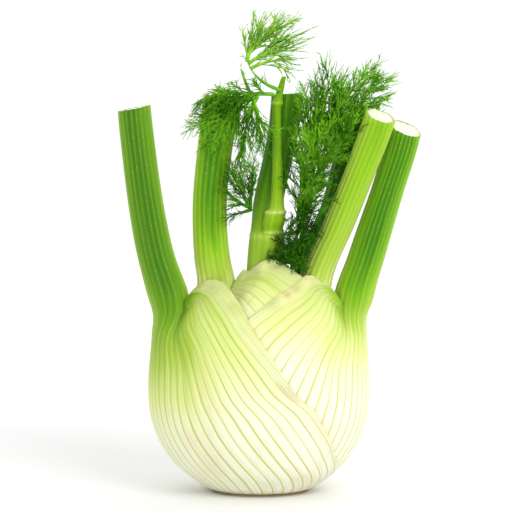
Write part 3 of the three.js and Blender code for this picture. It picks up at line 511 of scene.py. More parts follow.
def make_leaf(leaf, sizes, material):
    """A leaf's stalk and the two wings of its sheath, as one closed skin."""
    skin = Skin()
    half_ribs = leaf.ribs / 2

    def to_bulb(turn):
        """The angle from the bulb's front, of one in degrees from the leaf's middle."""
        return math.radians(turn - 90 if leaf.side < 0 else 90 - turn)

    def stalk_share(z):
        return smooth((z - leaf.blend[0]) / (leaf.blend[1] - leaf.blend[0]))

    def sheath(turn, z, depth):
        angle = to_bulb(turn)
        point = on_bulb(angle, z, layer_inset(leaf, angle, z, sizes) + depth)
        return Vector((-leaf.side * point.x, point.y))

    def thickness(turn, z):
        return sheath_thickness(leaf, to_bulb(turn), z, sizes)

    def tube(around, z, ridge):
        around = math.radians(around)
        return Vector((
            leaf.x(z) - (leaf.rx(z) + ridge - SKIN_INSET) * math.cos(around),
            leaf.y(z) - (leaf.ry(z) + ridge - SKIN_INSET) * math.sin(around),
        ))

    def lifted(point, z):
        tilt = smooth((z - leaf.top + CUT_TILT_RUN) / CUT_TILT_RUN)
        lift = tilt * (leaf.tilt[0] * (point.x - leaf.x(z)) + leaf.tilt[1] * (point.y - leaf.y(z)))
        rough = noise.noise(Vector((point.x, point.y, 0)) * 0.9)
        lift += smooth((z - leaf.top + 2) / 2) * CUT_ROUGHNESS * rough
        return Vector((-leaf.side * point.x, point.y, z + lift))

    def spring_angle(z):
        return mix(LOW_SPRING, leaf.spring, stalk_share(z))

    def turn_at(c, z):
        return c * (leaf.back_seam_at(z) if c < 0 else leaf.front_seam_at(z))

    def foot_fade(z):
        return smooth((z - leaf.foot) / FOOT_RUN)

    def middle_outer(c, z):
        rib = valley(c * half_ribs, sizes.rib) * foot_fade(z)
        low = sheath(turn_at(c, z), z, -rib)
        return low.lerp(tube(c * spring_angle(z), z, rib * STALK_RELIEF), stalk_share(z))

    def inner_rib(c):
        return half_ribs + INNER_RIBS * (1 - abs(c))

    def middle_inner(c, z):
        opened = smooth((leaf.seam_height - z) / OPENING_RUN)
        edge = (1 - opened) * abs(c) ** SEAM_SHARPNESS
        turn = turn_at(c, z)
        around = math.copysign(180 - (180 - spring_angle(z)) * abs(c), c)
        rib = valley(inner_rib(c), sizes.rib) * foot_fade(z)
        depth = thickness(turn, z) * (1 - edge) - rib * edge
        return sheath(turn, z, depth).lerp(tube(around, z, rib * STALK_RELIEF), stalk_share(z))

    def side_sheen_tone(around, z):
        """A stalk is deepest green in front and behind, and painted paler on its sides: painted sheen, for
        the light of the white surroundings on its edges.
        """
        paler = PAINTED_SIDE_SHEEN * (1 - math.sin(math.radians(around)) ** 2) * stalk_share(z)
        return leaf.greenness(z) * (1 - paler)

    # The outer and inner skins below carry that painted sheen on the stalk's sides.
    def outer_skin(c, z):
        place = lifted(middle_outer(c, z), z)
        tone = side_sheen_tone(abs(c) * spring_angle(z), z)
        return place, (abs(c) * half_ribs, z / GROWTH_SCALE, 0), (tone, 0, 0, 0)

    def inner_skin(c, z):
        place = lifted(middle_inner(c, z), z)
        around = 180 - (180 - spring_angle(z)) * abs(c)
        return place, (inner_rib(c), z / GROWTH_SCALE, 0), (side_sheen_tone(around, z), 0, 0, 0)

    def down(r):
        return mix(leaf.seam_height, leaf.foot, r)

    def wing(sign):
        way = "front" if sign > 0 else "back"
        seam_at = getattr(leaf, way + "_seam_at")
        start = (seam_at(leaf.seam_height), leaf.seam_height)
        margin = even_curve([Vector(point) for point in [start] + getattr(leaf, way + "_margin")])

        @lru_cache(maxsize=None)
        def edge_at(r):
            return margin(r)

        @lru_cache(maxsize=None)
        def ragged(r):
            """How uneven the margin is, in millimetres of height, fading out at its two ends."""
            coarse = noise.noise(Vector((r * 60, sign, 0))) * 0.8
            fine = noise.noise(Vector((r * 150, sign, 0))) * 0.4
            return (coarse + fine) * smooth(r * 25) * smooth((1 - r) * 12)

        def turned(k, r):
            """The place of a point of the wing: k runs from seam to margin, r down along them."""
            edge = edge_at(r)
            height = mix(down(r), edge.y, k) + ragged(r) * k ** 12
            return sign * mix(seam_at(down(r)), edge.x, k), height

        def side(middle, depth_at):
            @lru_cache(maxsize=None)
            def pull(r):
                turn, z = turned(0, r)
                return middle(sign, z) - sheath(turn, z, depth_at(turn, z))

            spring = pull(0)

            def at(k, r, relief=0.0):
                turn, z = turned(k, r)
                local = pull(r).lerp(spring * (1 - smooth(r / SPRING_SHARE)), k)
                return lifted(sheath(turn, z, depth_at(turn, z) - relief) + local, z)

            return at

        outer = side(middle_outer, lambda turn, z: 0.0)
        inner = side(middle_inner, thickness)

        def dryness(turn, z):
            spots = leaf.dry if sign > 0 else ()
            return max([0.0] + [
                1 - math.hypot((abs(turn) - at_turn) * MM_PER_DEGREE, z - at_height) / radius
                for at_turn, at_height, radius in spots
            ])

        def painted(k, r, surface, faces_out):
            veined = mix(leaf.veined[0], leaf.veined[1], smooth(r / 0.75))
            vein = k / veined
            membrane = smooth((vein - 0.9) / 0.18)
            turn, z = turned(k, r)
            shown = smooth(r * 7) * (1 - membrane) * foot_fade(z) * smooth(k * 12)
            relief = valley(vein * leaf.wing_ribs, sizes.rib) * shown if faces_out else 0.0
            if faces_out:
                waves = noise.noise(Vector((turn * 0.2, z * 0.3, 3.0 * sign))) * 0.3
                relief += waves * membrane * smooth((1 - k) * 14)
            membrane *= smooth((r - LOW_MARGIN_ROW) * 14)
            paleness = mix(1, leaf.wing_green, smooth(k * 1.7) * smooth(r * 7))
            green = leaf.greenness(z) * paleness * (1 - 0.5 * membrane)
            growth = (half_ribs + vein * leaf.wing_ribs, z / GROWTH_SCALE + (1 - r) * 0.2, 0)
            return surface(k, r, relief), growth, (green, membrane, 0, dryness(turn, z))

        def rounded(t, r):
            """The margin's edge, rounded between the outer and the inner side."""
            outer_edge, inner_edge = outer(1, r), inner(1, r)
            beyond = outer_edge - outer(0.97, r)
            if beyond.length > 1e-6:
                beyond.normalize()
            bulge = math.sin(math.pi * t) * 0.4 * (outer_edge - inner_edge).length
            skin_here = painted(1, r, outer, False)
            dry = (skin_here[2][0], skin_here[2][1], 0, 0.45)
            return outer_edge.lerp(inner_edge, t) + beyond * bulge, skin_here[1], dry

        def foot(u, v):
            return foot_skin(painted(u, 1, outer, True), painted(u, 1, inner, False), v)

        wide, tall = leaf.grid[1], leaf.grid[2]
        skin.lay(wide, tall, lambda u, v: painted(u, v, outer, True))
        skin.lay(wide, tall, lambda u, v: painted(u, v, inner, False))
        skin.lay(3, tall, rounded)
        skin.lay(wide, 1, foot)

    def foot_skin(outer_corner, inner_corner, v):
        """The trimmed lower edge, between a corner of the outer and one of the inner side."""
        return outer_corner[0].lerp(inner_corner[0], v), outer_corner[1], (0, 0, 0, 1)

    def cap(rim, c, v):
        """The cut end of the stalk, from its rim (0) to its middle (1)."""
        corner, growth, colour = rim(c, leaf.top)
        cut = smooth(v * 9)
        middle = lifted(Vector((leaf.x(leaf.top), leaf.y(leaf.top))), leaf.top)
        place = corner.lerp(middle, v)
        rough = noise.noise(place * 0.55) * 0.7 + noise.noise(place * 1.7) * 0.3
        dip = Vector((0, 0, rough * smooth(v * 8) - 0.5 * math.sin(math.pi * v) * smooth(v * 4)))
        return place + dip, (growth[0], growth[1], v), (colour[0], 0, cut, 0)

    def above_seam(v):
        return mix(leaf.top, leaf.seam_height, v)

    def middle_foot(u, v):
        c = 2 * u - 1
        return foot_skin(outer_skin(c, leaf.foot), inner_skin(c, leaf.foot), v)

    columns, _, tall, stalk_rows = leaf.grid
    for surface in (outer_skin, inner_skin):
        skin.lay(columns, stalk_rows, lambda u, v: surface(2 * u - 1, above_seam(v)))
        skin.lay(columns, tall, lambda u, v: surface(2 * u - 1, down(v)))
        skin.lay(columns, 7, lambda u, v: cap(surface, 2 * u - 1, v))
    skin.lay(columns, 1, middle_foot)
    wing(1)
    wing(-1)
    skin.finish(leaf.name, material)


def make_round_stalk(stalk, sizes, material):
    """A stalk that is round all the way down, with a cut end."""
    skin = Skin()
    x, y, rx, ry = stalk_form(stalk.rows)
    low, high = stalk.rows[0][0], stalk.rows[-1][0]
    green_at = smooth_table(stalk.green)
    ribs, tilt = stalk.ribs, stalk.tilt

    def at(u, z, inward=0.0):
        rib = valley(u * ribs, sizes.rib * stalk.relief * 0.8) + sum(
            bulge * math.exp(-((z - ring) / RING_HEIGHT) ** 2) for ring, bulge in stalk.rings
        )
        dx = (rx(z) + rib) * math.cos(2 * math.pi * u) * (1 - inward)
        dy = (ry(z) + rib) * math.sin(2 * math.pi * u) * (1 - inward)
        lift = smooth((z - high + CUT_TILT_RUN) / CUT_TILT_RUN) * (tilt[0] * dx + tilt[1] * dy)
        return Vector((x(z) + dx, y(z) + dy, z + lift))

    def side(u, v):
        z = mix(low, high, v)
        return at(u, z), (u * ribs, z / GROWTH_SCALE, 0), (green_at(z), 0, 0, 0)

    def end(z, cut):
        def place(u, v):
            skin_here = (green_at(z), 0, cut * smooth(v * 9), 0)
            return at(u, z, v), (u * ribs, z / GROWTH_SCALE, v), skin_here
        return place

    columns = ribs * 6
    skin.lay(columns, 110, side)
    skin.lay(columns, 6, end(high, 1.0))
    skin.lay(columns, 2, end(low, 0.0))
    skin.finish(stalk.name, material)


OBSTACLES = [
    (LOWEST_STALK, leaf.top, -leaf.side, (leaf.x, leaf.y, leaf.rx, leaf.ry)) for leaf in LEAVES
] + [
    (stalk.rows[0][0], stalk.rows[-1][0], 1, stalk_form(stalk.rows))
    for stalk in (HEART, SHOOT, INNERMOST_RIGHT)
]


def clear_of_stalks(point, room):
    """Bends a point sideways until it is clear of the stalks."""
    moved = point.copy()
    for low, high, side, (x, y, rx, ry) in OBSTACLES:
        z = moved.z
        if low <= z <= high + 3:
            dx, dy = moved.x - side * x(z), moved.y - y(z)
            share = math.hypot(dx / (rx(z) + room), dy / (ry(z) + room))
            if 0 < share < 1:
                moved.x = side * x(z) + dx / share
                moved.y = y(z) + dy / share
    return moved


def add_tube(bm, trail, root, tip, sides=3):
    """A slim tapered closed tube along a trail of points."""
    ring = bmesh.ops.create_circle(bm, cap_ends=True, segments=sides, radius=root)["verts"]
    turned = (trail[1] - trail[0]).to_track_quat("Z", "Y").to_matrix().to_4x4()
    bmesh.ops.transform(bm, matrix=Matrix.Translation(trail[0]) @ turned, verts=ring)
    edges = list({edge for vert in ring for edge in vert.link_edges})
    steps = len(trail) - 1
    for step in range(1, steps + 1):
        made = bmesh.ops.extrude_edge_only(bm, edges=edges)["geom"]
        ring = [item for item in made if isinstance(item, bmesh.types.BMVert)]
        edges = [item for item in made if isinstance(item, bmesh.types.BMEdge)]
        shrink = mix(root, tip, step / steps) / mix(root, tip, (step - 1) / steps)
        middle = Matrix.Translation(-trail[step - 1])
        bmesh.ops.transform(
            bm, matrix=Matrix.Translation(trail[step]) @ Matrix.Scale(shrink, 4) @ middle, verts=ring
        )
    bmesh.ops.contextual_create(bm, geom=edges)


def leaning(line, aside, degrees):
    lean = math.radians(degrees)
    return (line * math.cos(lean) + aside * math.sin(lean)).normalized()


def across_and_up(line):
    """Two directions square to a line."""
    plane = Vector((0, 1, 0)) if abs(line.y) < 0.9 else Vector((1, 0, 0))
    across = plane.cross(line).normalized()
    return across, line.cross(across)


def add_thread(bm, start, line, length, order, draws, needles):
    """A thin green thread that bends a little, with finer threads along it, down to the last needles."""
    steps = needles.steps[order]
    radius = needles.radius * (1.2, 1.0, 0.85)[order]
    across, up = across_and_up(line)
    turn = draws.uniform(0, math.tau)
    drift = (across * math.cos(turn) + up * math.sin(turn)) * draws.uniform(*needles.curl)
    heading = line.copy()
    trail = [start.copy()]
    for step in range(steps):
        heading = (heading + drift * (1 + needles.curl[0] * step)).normalized()
        trail.append(trail[-1] + heading * length / steps)
    add_tube(bm, trail, radius, radius * 0.4)
    if order == 2:
        return
    count = needles.first if order == 0 else needles.second
    turn = draws.uniform(0, math.tau)
    for n in range(count):
        share = clamp01(mix(0.12, 0.92, (n + draws.uniform(-0.3, 0.3)) / max(1, count - 1)))
        spot = share * steps
        i = min(steps - 1, int(spot))
        root = trail[i].lerp(trail[i + 1], spot - i)
        turn += GOLDEN_TURN + draws.uniform(-0.5, 0.5)
        aside = across * math.cos(turn) + up * math.sin(turn)
        reach = length * mix(0.74, 0.42, share) * draws.uniform(0.75, 1.2)
        child = leaning((trail[i + 1] - trail[i]).normalized(), aside, draws.uniform(*needles.lean))
        add_thread(bm, root, child, reach, order + 1, draws, needles)


def make_sprigs(sizes, habit, draws, kinds=7):
    """A few sprigs of length one, that stand along the z axis and are set many times."""
    needles = SimpleNamespace(
        radius=habit.thick * sizes.needle / USUAL_SPRIG,
        first=max(2, round(sizes.threads * habit.share)), second=max(1, round(sizes.needles * habit.share)),
        lean=habit.lean, curl=habit.curl, steps=habit.steps,
    )
    sprigs = []
    for _ in range(kinds):
        sprig = bmesh.new()
        add_thread(sprig, Vector((0, 0, 0)), Vector((0, 0, 1)), 1.0, 0, draws, needles)
        mesh = bpy.data.meshes.new("sprig")
        sprig.to_mesh(mesh)
        sprig.free()
        sprigs.append(mesh)
    return sprigs


def keep_below(value, top, soft=3.0):
    """A height that eases in below top, and never passes it."""
    beyond = value - (top - soft)
    return value if beyond <= 0 else top - soft + soft * math.tanh(beyond / soft)


def make_frond(name, sizes, material, seed):
    """Spines with side sprigs of branching threads. A few sprigs are grown and set along the spines."""
    draws = random.Random(seed)
    habits = sorted({row[6] for row in FRONDS[name]})
    grown = {habit: make_sprigs(sizes, HABITS[habit], draws) for habit in habits}
    top = CAD_BOX[1][2] / MM
    bm = bmesh.new()
    for start, bend, tip, count, reach, sweep, habit in FRONDS[name]:
        start, bend, tip, sweep = Vector(start), Vector(bend), Vector(tip), Vector(sweep)

        def spine(t):
            return start.lerp(bend, t).lerp(bend.lerp(tip, t), t)

        trail = [clear_of_stalks(spine(i / 12), SPINE_ROOM) for i in range(13)]
        add_tube(bm, trail, sizes.spine, sizes.spine * 0.4, 6)
        turn = draws.uniform(0, math.tau)
        for n in range(count + 1):
            t = mix(0.14, 1.0, n / max(1, count))
            line = (spine(min(1, t + 0.02)) - spine(t - 0.02)).normalized()
            across, up = across_and_up(line)
            turn += GOLDEN_TURN + draws.uniform(-0.5, 0.5)
            lean = 5 if n == count else draws.uniform(*HABITS[habit].sprig_lean)
            heading = leaning(line, across * math.cos(turn) + up * math.sin(turn), lean)
            length = reach * mix(1.15, 0.7, t) * draws.uniform(0.8, 1.15)
            root = clear_of_stalks(spine(t), SPINE_ROOM)
            turned = heading.to_track_quat("Z", "Y").to_matrix().to_4x4()
            rolled = Matrix.Rotation(draws.uniform(0, math.tau), 4, "Z")
            copy = draws.choice(grown[habit]).copy()
            for vert in copy.vertices:
                share = vert.co.z
                vert.co = root + turned @ rolled @ (vert.co * length) + sweep * length * share * abs(share)
            bm.from_mesh(copy)
            bpy.data.meshes.remove(copy)
    for vert in bm.verts:
        vert.co = clear_of_stalks(vert.co, THREAD_ROOM)
        vert.co.z = keep_below(vert.co.z, top)
    for sprigs in grown.values():
        for mesh in sprigs:
            bpy.data.meshes.remove(mesh)
    bmesh.ops.recalc_face_normals(bm, faces=bm.faces)
    for face in bm.faces:
        face.smooth = True
    finish_piece(bm, name, material)


def make_root_plate(sizes, material):
    """The trimmed root end: a scarred disc with a rounded rim, and a plug that rises inside the leaves."""
    low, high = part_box("root_plate")
    half = (high - low) / 2 / MM
    bm = bmesh.new()
    bmesh.ops.create_circle(bm, cap_ends=True, cap_tris=False, segments=96, radius=1)
    bmesh.ops.scale(bm, vec=(half.x - 0.3, half.y - 0.3, 1), verts=bm.verts)
    floor = bm.faces[:]
    for inset in (1.2, 3.2, 3.2, 3.0):
        bmesh.ops.inset_region(bm, faces=floor, thickness=inset, use_even_offset=True)
    for vert in bm.verts:
        share = math.hypot(vert.co.x / half.x, vert.co.y / half.y)
        vert.co.z = 0.12 * (1 - smooth((share - 0.8) / 0.14)) * (0.5 + 0.5 * noise.noise(vert.co * 0.7))
    rim = [edge for edge in bm.edges if edge.is_boundary]
    rounded_rim = ((0.28, 1.012), (0.34, 1.0), (0.23, 0.97))
    plug = ((0.0, 0.64), (5.6, 0.9))
    for rise, grow in rounded_rim + plug:
        made = bmesh.ops.extrude_edge_only(bm, edges=rim)["geom"]
        verts = [item for item in made if isinstance(item, bmesh.types.BMVert)]
        rim = [item for item in made if isinstance(item, bmesh.types.BMEdge)]
        bmesh.ops.translate(bm, vec=(0, 0, rise), verts=verts)
        bmesh.ops.scale(bm, vec=(grow, grow, 1), verts=verts)
    bmesh.ops.contextual_create(bm, geom=rim)
    bmesh.ops.recalc_face_normals(bm, faces=bm.faces)
    finish_piece(bm, "root_plate", material)


def linear(colour):
    """A screen colour as the linear one that a shader takes."""
    return tuple(
        part / 12.92 if part <= 0.04045 else ((part + 0.055) / 1.055) ** 2.4 for part in colour[:3]
    ) + (1.0,)


class Tree:
    """A material's nodes, added one after another."""

    def __init__(self, name):
        self.material = bpy.data.materials.new(name)
        self.material.use_nodes = True
        self.tree = self.material.node_tree
        self.tree.nodes.clear()
        self.shader = self.node("ShaderNodeBsdfPrincipled")
        output = self.node("ShaderNodeOutputMaterial")
        self.link(self.shader.outputs["BSDF"], output.inputs["Surface"])

    def node(self, kind, **settings):
        made = self.tree.nodes.new(kind)
        for key, value in settings.items():
            setattr(made, key, value)
        return made

    def link(self, output, socket):
        self.tree.links.new(output, socket)

    def set(self, socket, value):
        if isinstance(value, bpy.types.NodeSocket):
            self.link(value, socket)
        else:
            socket.default_value = value

    def maths(self, operation, first, second=0.0, third=None):
        made = self.node("ShaderNodeMath", operation=operation)
        self.set(made.inputs[0], first)
        self.set(made.inputs[1], second)
        if third is not None:
            self.set(made.inputs[2], third)
        return made.outputs[0]

    def times(self, first, second):
        return self.maths("MULTIPLY", first, second)

    def plus(self, first, second):
        return self.maths("ADD", first, second)

    def step(self, value, low, high, out_low=0.0, out_high=1.0):
        made = self.node("ShaderNodeMapRange", interpolation_type="SMOOTHSTEP")
        for socket, given in zip(made.inputs, (value, low, high, out_low, out_high)):
            self.set(socket, given)
        return made.outputs[0]

    def blend(self, share, first, second, mode="MIX"):
        made = self.node("ShaderNodeMix", data_type="RGBA", blend_type=mode)
        self.set(made.inputs[0], share)
        self.set(made.inputs[6], first)
        self.set(made.inputs[7], second)
        return made.outputs[2]

    def tint(self, share, under, colour):
        """Lays a screen colour over another by a share."""
        return self.blend(share, under, linear(colour))

    def multiply_by(self, colour, grey):
        return self.blend(1.0, colour, self.join(grey, grey, grey), "MULTIPLY")

    def ramp(self, value, stops):
        made = self.node("ShaderNodeValToRGB")
        self.link(value, made.inputs[0])
        band = made.color_ramp.elements
        while len(band) < len(stops):
            band.new(0.5)
        for element, (spot, colour) in zip(band, stops):
            element.position = spot
            element.color = linear(colour)
        return made.outputs[0]

    def noise(self, vector, scale, detail=3.0, roughness=0.5):
        made = self.node("ShaderNodeTexNoise")
        self.link(vector, made.inputs["Vector"])
        made.inputs["Scale"].default_value = scale
        made.inputs["Detail"].default_value = detail
        made.inputs["Roughness"].default_value = roughness
        return made.outputs[0]

    def split(self, vector):
        made = self.node("ShaderNodeSeparateXYZ")
        self.link(vector, made.inputs[0])
        return made.outputs

    def join(self, x, y, z):
        made = self.node("ShaderNodeCombineXYZ")
        for socket, given in zip(made.inputs, (x, y, z)):
            self.set(socket, given)
        return made.outputs[0]

    def attribute(self, name):
        made = self.node("ShaderNodeAttribute", attribute_name=name)
        return made.outputs

    def object_place(self):
        return self.node("ShaderNodeTexCoord").outputs["Object"]

    def glow(self, weight, radius, scale):
        """Lets light into the flesh, further in some colours than in others."""
        self.shader.inputs["Subsurface Weight"].default_value = weight
        self.shader.inputs["Subsurface Radius"].default_value = radius
        self.shader.inputs["Subsurface Scale"].default_value = scale

    def bump(self, height, distance, strength=1.0):
        made = self.node("ShaderNodeBump")
        made.inputs["Distance"].default_value = distance
        made.inputs["Strength"].default_value = strength
        self.link(height, made.inputs["Height"])
        self.link(made.outputs[0], self.shader.inputs["Normal"])


def rgb(value):
    """0xRRGGBB as three shares."""
    return ((value >> 16 & 255) / 255, (value >> 8 & 255) / 255, (value & 255) / 255)


def leaf_skin(leaf, colours, striped=1.0):
    """Plant skin: pale flesh that turns green up the stalk, fine green veins, thin margins, cut ends."""
    t = Tree(leaf.skin)
    deep, bright = (getattr(colours, key) for key in leaf.greens)
    across, along, into_cut = t.split(t.attribute("growth")["Vector"])
    skin = t.attribute("skin")
    channels = t.node("ShaderNodeSeparateColor")
    t.link(skin["Color"], channels.inputs[0])
    green, membrane, cut = channels.outputs[0], channels.outputs[1], channels.outputs[2]
    place = t.object_place()
    _, depth, height = t.split(place)
    swirl = t.times(depth, 25.0)

    def grown(crosswise, lengthwise, detail):
        """Noise in the plant's own directions, across its ribs and along them."""
        return t.noise(t.join(t.times(across, crosswise), t.times(along, lengthwise), swirl), 1.0, detail)

    streaks = grown(1.7, 1.4, 4.0)
    threads = grown(13.0, 4.0, 3.0)
    flecks = grown(5.0, 120.0, 1.0)
    clouds = t.noise(place, 60.0, 4.0)
    grain = t.noise(place, 900.0, 3.0)
    wander = t.maths("SUBTRACT", streaks, 0.5)
    in_green = t.step(green, 0.0, 0.4)
    shade = t.plus(green, t.times(t.times(wander, 0.5), in_green))
    body = t.ramp(shade, [
        (0.0, colours.flesh), (0.16, colours.pale), (0.4, colours.tender), (0.72, bright), (1.0, deep),
    ])
    vein = t.ramp(shade, [(0.0, colours.vein), (0.45, colours.vein_green), (1.0, colours.vein_deep)])
    wavy = t.plus(across, t.times(wander, 0.05))
    off_centre = t.maths("PINGPONG", wavy, 0.5)
    off_fine = t.maths("PINGPONG", t.times(wavy, 3.0), 0.5)
    width = t.step(green, 0.0, 0.8, 0.15, 0.2)
    line = t.step(t.maths("DIVIDE", off_centre, width), 1.0, 0.05)
    line = t.times(line, t.step(streaks, 0.25, 0.6, 0.55, 1.0))
    line = t.times(line, t.step(membrane, 0.9, 0.2, 0.35, 1.0))
    line = t.times(line, t.step(height, 0.055, 0.1, 1.0, 0.55))
    ridge = t.times(t.step(off_centre, 0.25, 0.5), t.step(green, 0.3, 1.0, 0.0, 0.22 * striped))
    body = t.tint(ridge, body, colours.ridge)
    body = t.blend(t.times(line, t.step(green, 0.0, 0.6, 0.95, 0.5 * striped)), body, vein)
    fine = t.maths("MAXIMUM", t.step(green, 0.3, 0.8, 0.0, 0.3 * striped), t.times(membrane, 0.5))
    body = t.blend(t.times(t.step(off_fine, 0.2, 0.0), fine), body, vein)
    dashes = t.times(t.step(flecks, 0.62, 0.72), t.step(off_centre, 0.36, 0.48))
    body = t.tint(t.times(dashes, t.step(green, 0.5, 0.9, 0.0, 0.35)), body, colours.pale)
    film = t.ramp(clouds, [(0.4, colours.membrane), (0.66, colours.pale)])
    ear = t.step(height, 0.08, 0.094, 0.2, 0.85)
    body = t.blend(t.times(membrane, ear), body, film)
    scratches = t.times(t.step(threads, 0.5, 0.72), t.times(membrane, 0.35))
    body = t.blend(scratches, body, vein)
    body = t.multiply_by(body, t.step(threads, 0.3, 0.7, 0.93, 1.08))
    blushing = t.times(t.step(clouds, 0.48, 0.75, 0.0, 0.32), t.step(green, 0.35, 0.1))
    body = t.tint(blushing, body, colours.blush)
    dried = t.times(skin["Alpha"], t.step(t.plus(clouds, streaks), 0.8, 1.2, 0.15, 0.8))
    body = t.tint(dried, body, colours.dry)
    spots = t.node("ShaderNodeTexVoronoi", feature="F1")
    t.link(place, spots.inputs["Vector"])
    spots.inputs["Scale"].default_value = 700.0
    dots = t.times(t.step(spots.outputs["Distance"], 0.34, 0.12), t.step(into_cut, 0.6, 0.15))
    flesh = t.tint(t.times(dots, 0.5), linear(colours.cut), colours.fibre)
    flesh = t.tint(t.step(into_cut, 0.18, 0.0, 0.0, 0.6), flesh, colours.tender)
    browned = t.times(t.step(clouds, 0.5, 0.62), t.step(into_cut, 0.3, 0.05, 0.0, 0.75))
    flesh = t.tint(browned, flesh, colours.scar)
    body = t.blend(cut, body, flesh)
    t.link(body, t.shader.inputs["Base Color"])
    t.set(t.shader.inputs["Roughness"], t.step(threads, 0.2, 0.8, 0.34, 0.5))
    t.glow(0.2, (0.9, 1.0, 0.35), 0.002)
    t.shader.inputs["Specular IOR Level"].default_value = 0.1
    t.shader.inputs["Sheen Weight"].default_value = 0.08
    t.shader.inputs["Sheen Roughness"].default_value = 0.45
    t.bump(t.plus(t.times(threads, 0.7), t.times(grain, 0.3)), 0.00025, 0.6)
    return t.material


def frond_skin(name, shadowed_green, dark, light):
    """Feathery leaf: soft green that changes from thread to thread, with painted shade that darkens the
    fronds low in the heart.
    """
    t = Tree(name)
    place = t.object_place()
    clumps = t.noise(place, 70.0, 2.0)
    fine = t.noise(place, 520.0, 2.0)
    height = t.split(place)[2]
    mottled = t.plus(t.times(clumps, 0.6), t.times(fine, 0.4))
    # painted shade: fronds below 0.165 m, deep in the heart, are darkened towards the darkest green
    shade = t.plus(mottled, t.step(height, 0.115, 0.165, -0.2, 0.0))
    body = t.ramp(shade, [(0.2, shadowed_green), (0.4, dark), (0.62, light)])
    t.link(body, t.shader.inputs["Base Color"])
    t.shader.inputs["Roughness"].default_value = 0.55
    t.shader.inputs["Specular IOR Level"].default_value = 0.1
    t.glow(0.1, (0.5, 1.0, 0.2), 0.001)
    t.bump(fine, 0.0001, 0.4)
    return t.material


def root_skin(colours):
    """Dry cut flesh: pale, with rings of brown scars and a brown rim."""
    t = Tree("root_scar")
    place = t.object_place()
    x, y, _ = t.split(place)
    patches = t.noise(place, 120.0, 5.0, 0.6)
    specks = t.noise(place, 900.0, 3.0)
    wider_y = t.times(y, ROOT_WIDTH_TO_DEPTH)
    from_middle = t.maths("SQRT", t.plus(t.maths("POWER", x, 2.0), t.maths("POWER", wider_y, 2.0)))
    rim = t.step(t.plus(from_middle, t.times(patches, 0.002)), 0.0185, 0.0215)
    rings = t.maths("PINGPONG", t.plus(from_middle, t.times(patches, 0.0025)), 0.0024)
    body = t.ramp(patches, [(0.25, colours.root), (0.7, colours.flesh)])
    for scarred in (
        t.step(rings, 0.0006, 0.0, 0.0, 0.5), t.times(rim, 0.75), t.step(specks, 0.6, 0.75, 0.0, 0.5),
    ):
        body = t.tint(scarred, body, colours.scar)
    t.link(body, t.shader.inputs["Base Color"])
    t.shader.inputs["Roughness"].default_value = 0.75
    t.bump(t.plus(patches, t.times(specks, 0.4)), 0.0004, 0.8)
    return t.material


def floor_skin(colour):
    t = Tree("studio_floor")
    place = t.object_place()
    clouds = t.noise(place, 3.0, 2.0)
    away = t.node("ShaderNodeVectorMath", operation="LENGTH")
    t.link(place, away.inputs[0])
    # painted shade: the floor is darker near the bulb and brightens out to 0.8 m, so that the bulb's shadow
    # shows
    shade_pool = t.step(away.outputs["Value"], 0.1, 0.8, 0.86, 1.0)
    cloudy = t.blend(t.step(clouds, 0.3, 0.7, 0.0, 0.03), linear(colour), (0.92, 0.92, 0.92, 1.0))
    t.link(t.multiply_by(cloudy, shade_pool), t.shader.inputs["Base Color"])
    t.shader.inputs["Roughness"].default_value = 0.8
    t.shader.inputs["Specular IOR Level"].default_value = 0.1
    return t.material


def length_setting(name, description, default):
    return FloatProperty(
        name=name, description=description, default=default, min=0.0, subtype="DISTANCE", unit="LENGTH",
    )


def count_setting(name, description, default, least, most):
    return IntProperty(name=name, description=description, default=default, min=least, max=most)


def colour_setting(name, description, value):
    return FloatVectorProperty(
        name=name, description=description, default=rgb(value), size=3, min=0.0, max=1.0,
        subtype="COLOR_GAMMA",
    )


class FennelSizes(bpy.types.PropertyGroup):
    gap: length_setting("Gap between leaves", "Clear space between one sheath and the next", 0.00025)
    margin: length_setting("Margin thickness", "How thin a sheath is at its free edge", 0.00045)
    rib: length_setting("Rib depth", "How deep the valleys along the veins are", 0.00042)
    spine: length_setting("Frond stem radius", "Radius of a frond's main stem where it starts", 0.0009)
    needle: length_setting("Needle radius", "Radius of a sprig's main thread where it starts", 0.00027)
    threads: count_setting("Side threads", "Side threads on each sprig", 8, 2, 20)
    needles: count_setting("Needles", "Needles on each side thread", 3, 1, 12)
    seed: count_setting("Seed", "Changes how the fronds fall", 7, 0, 9999)


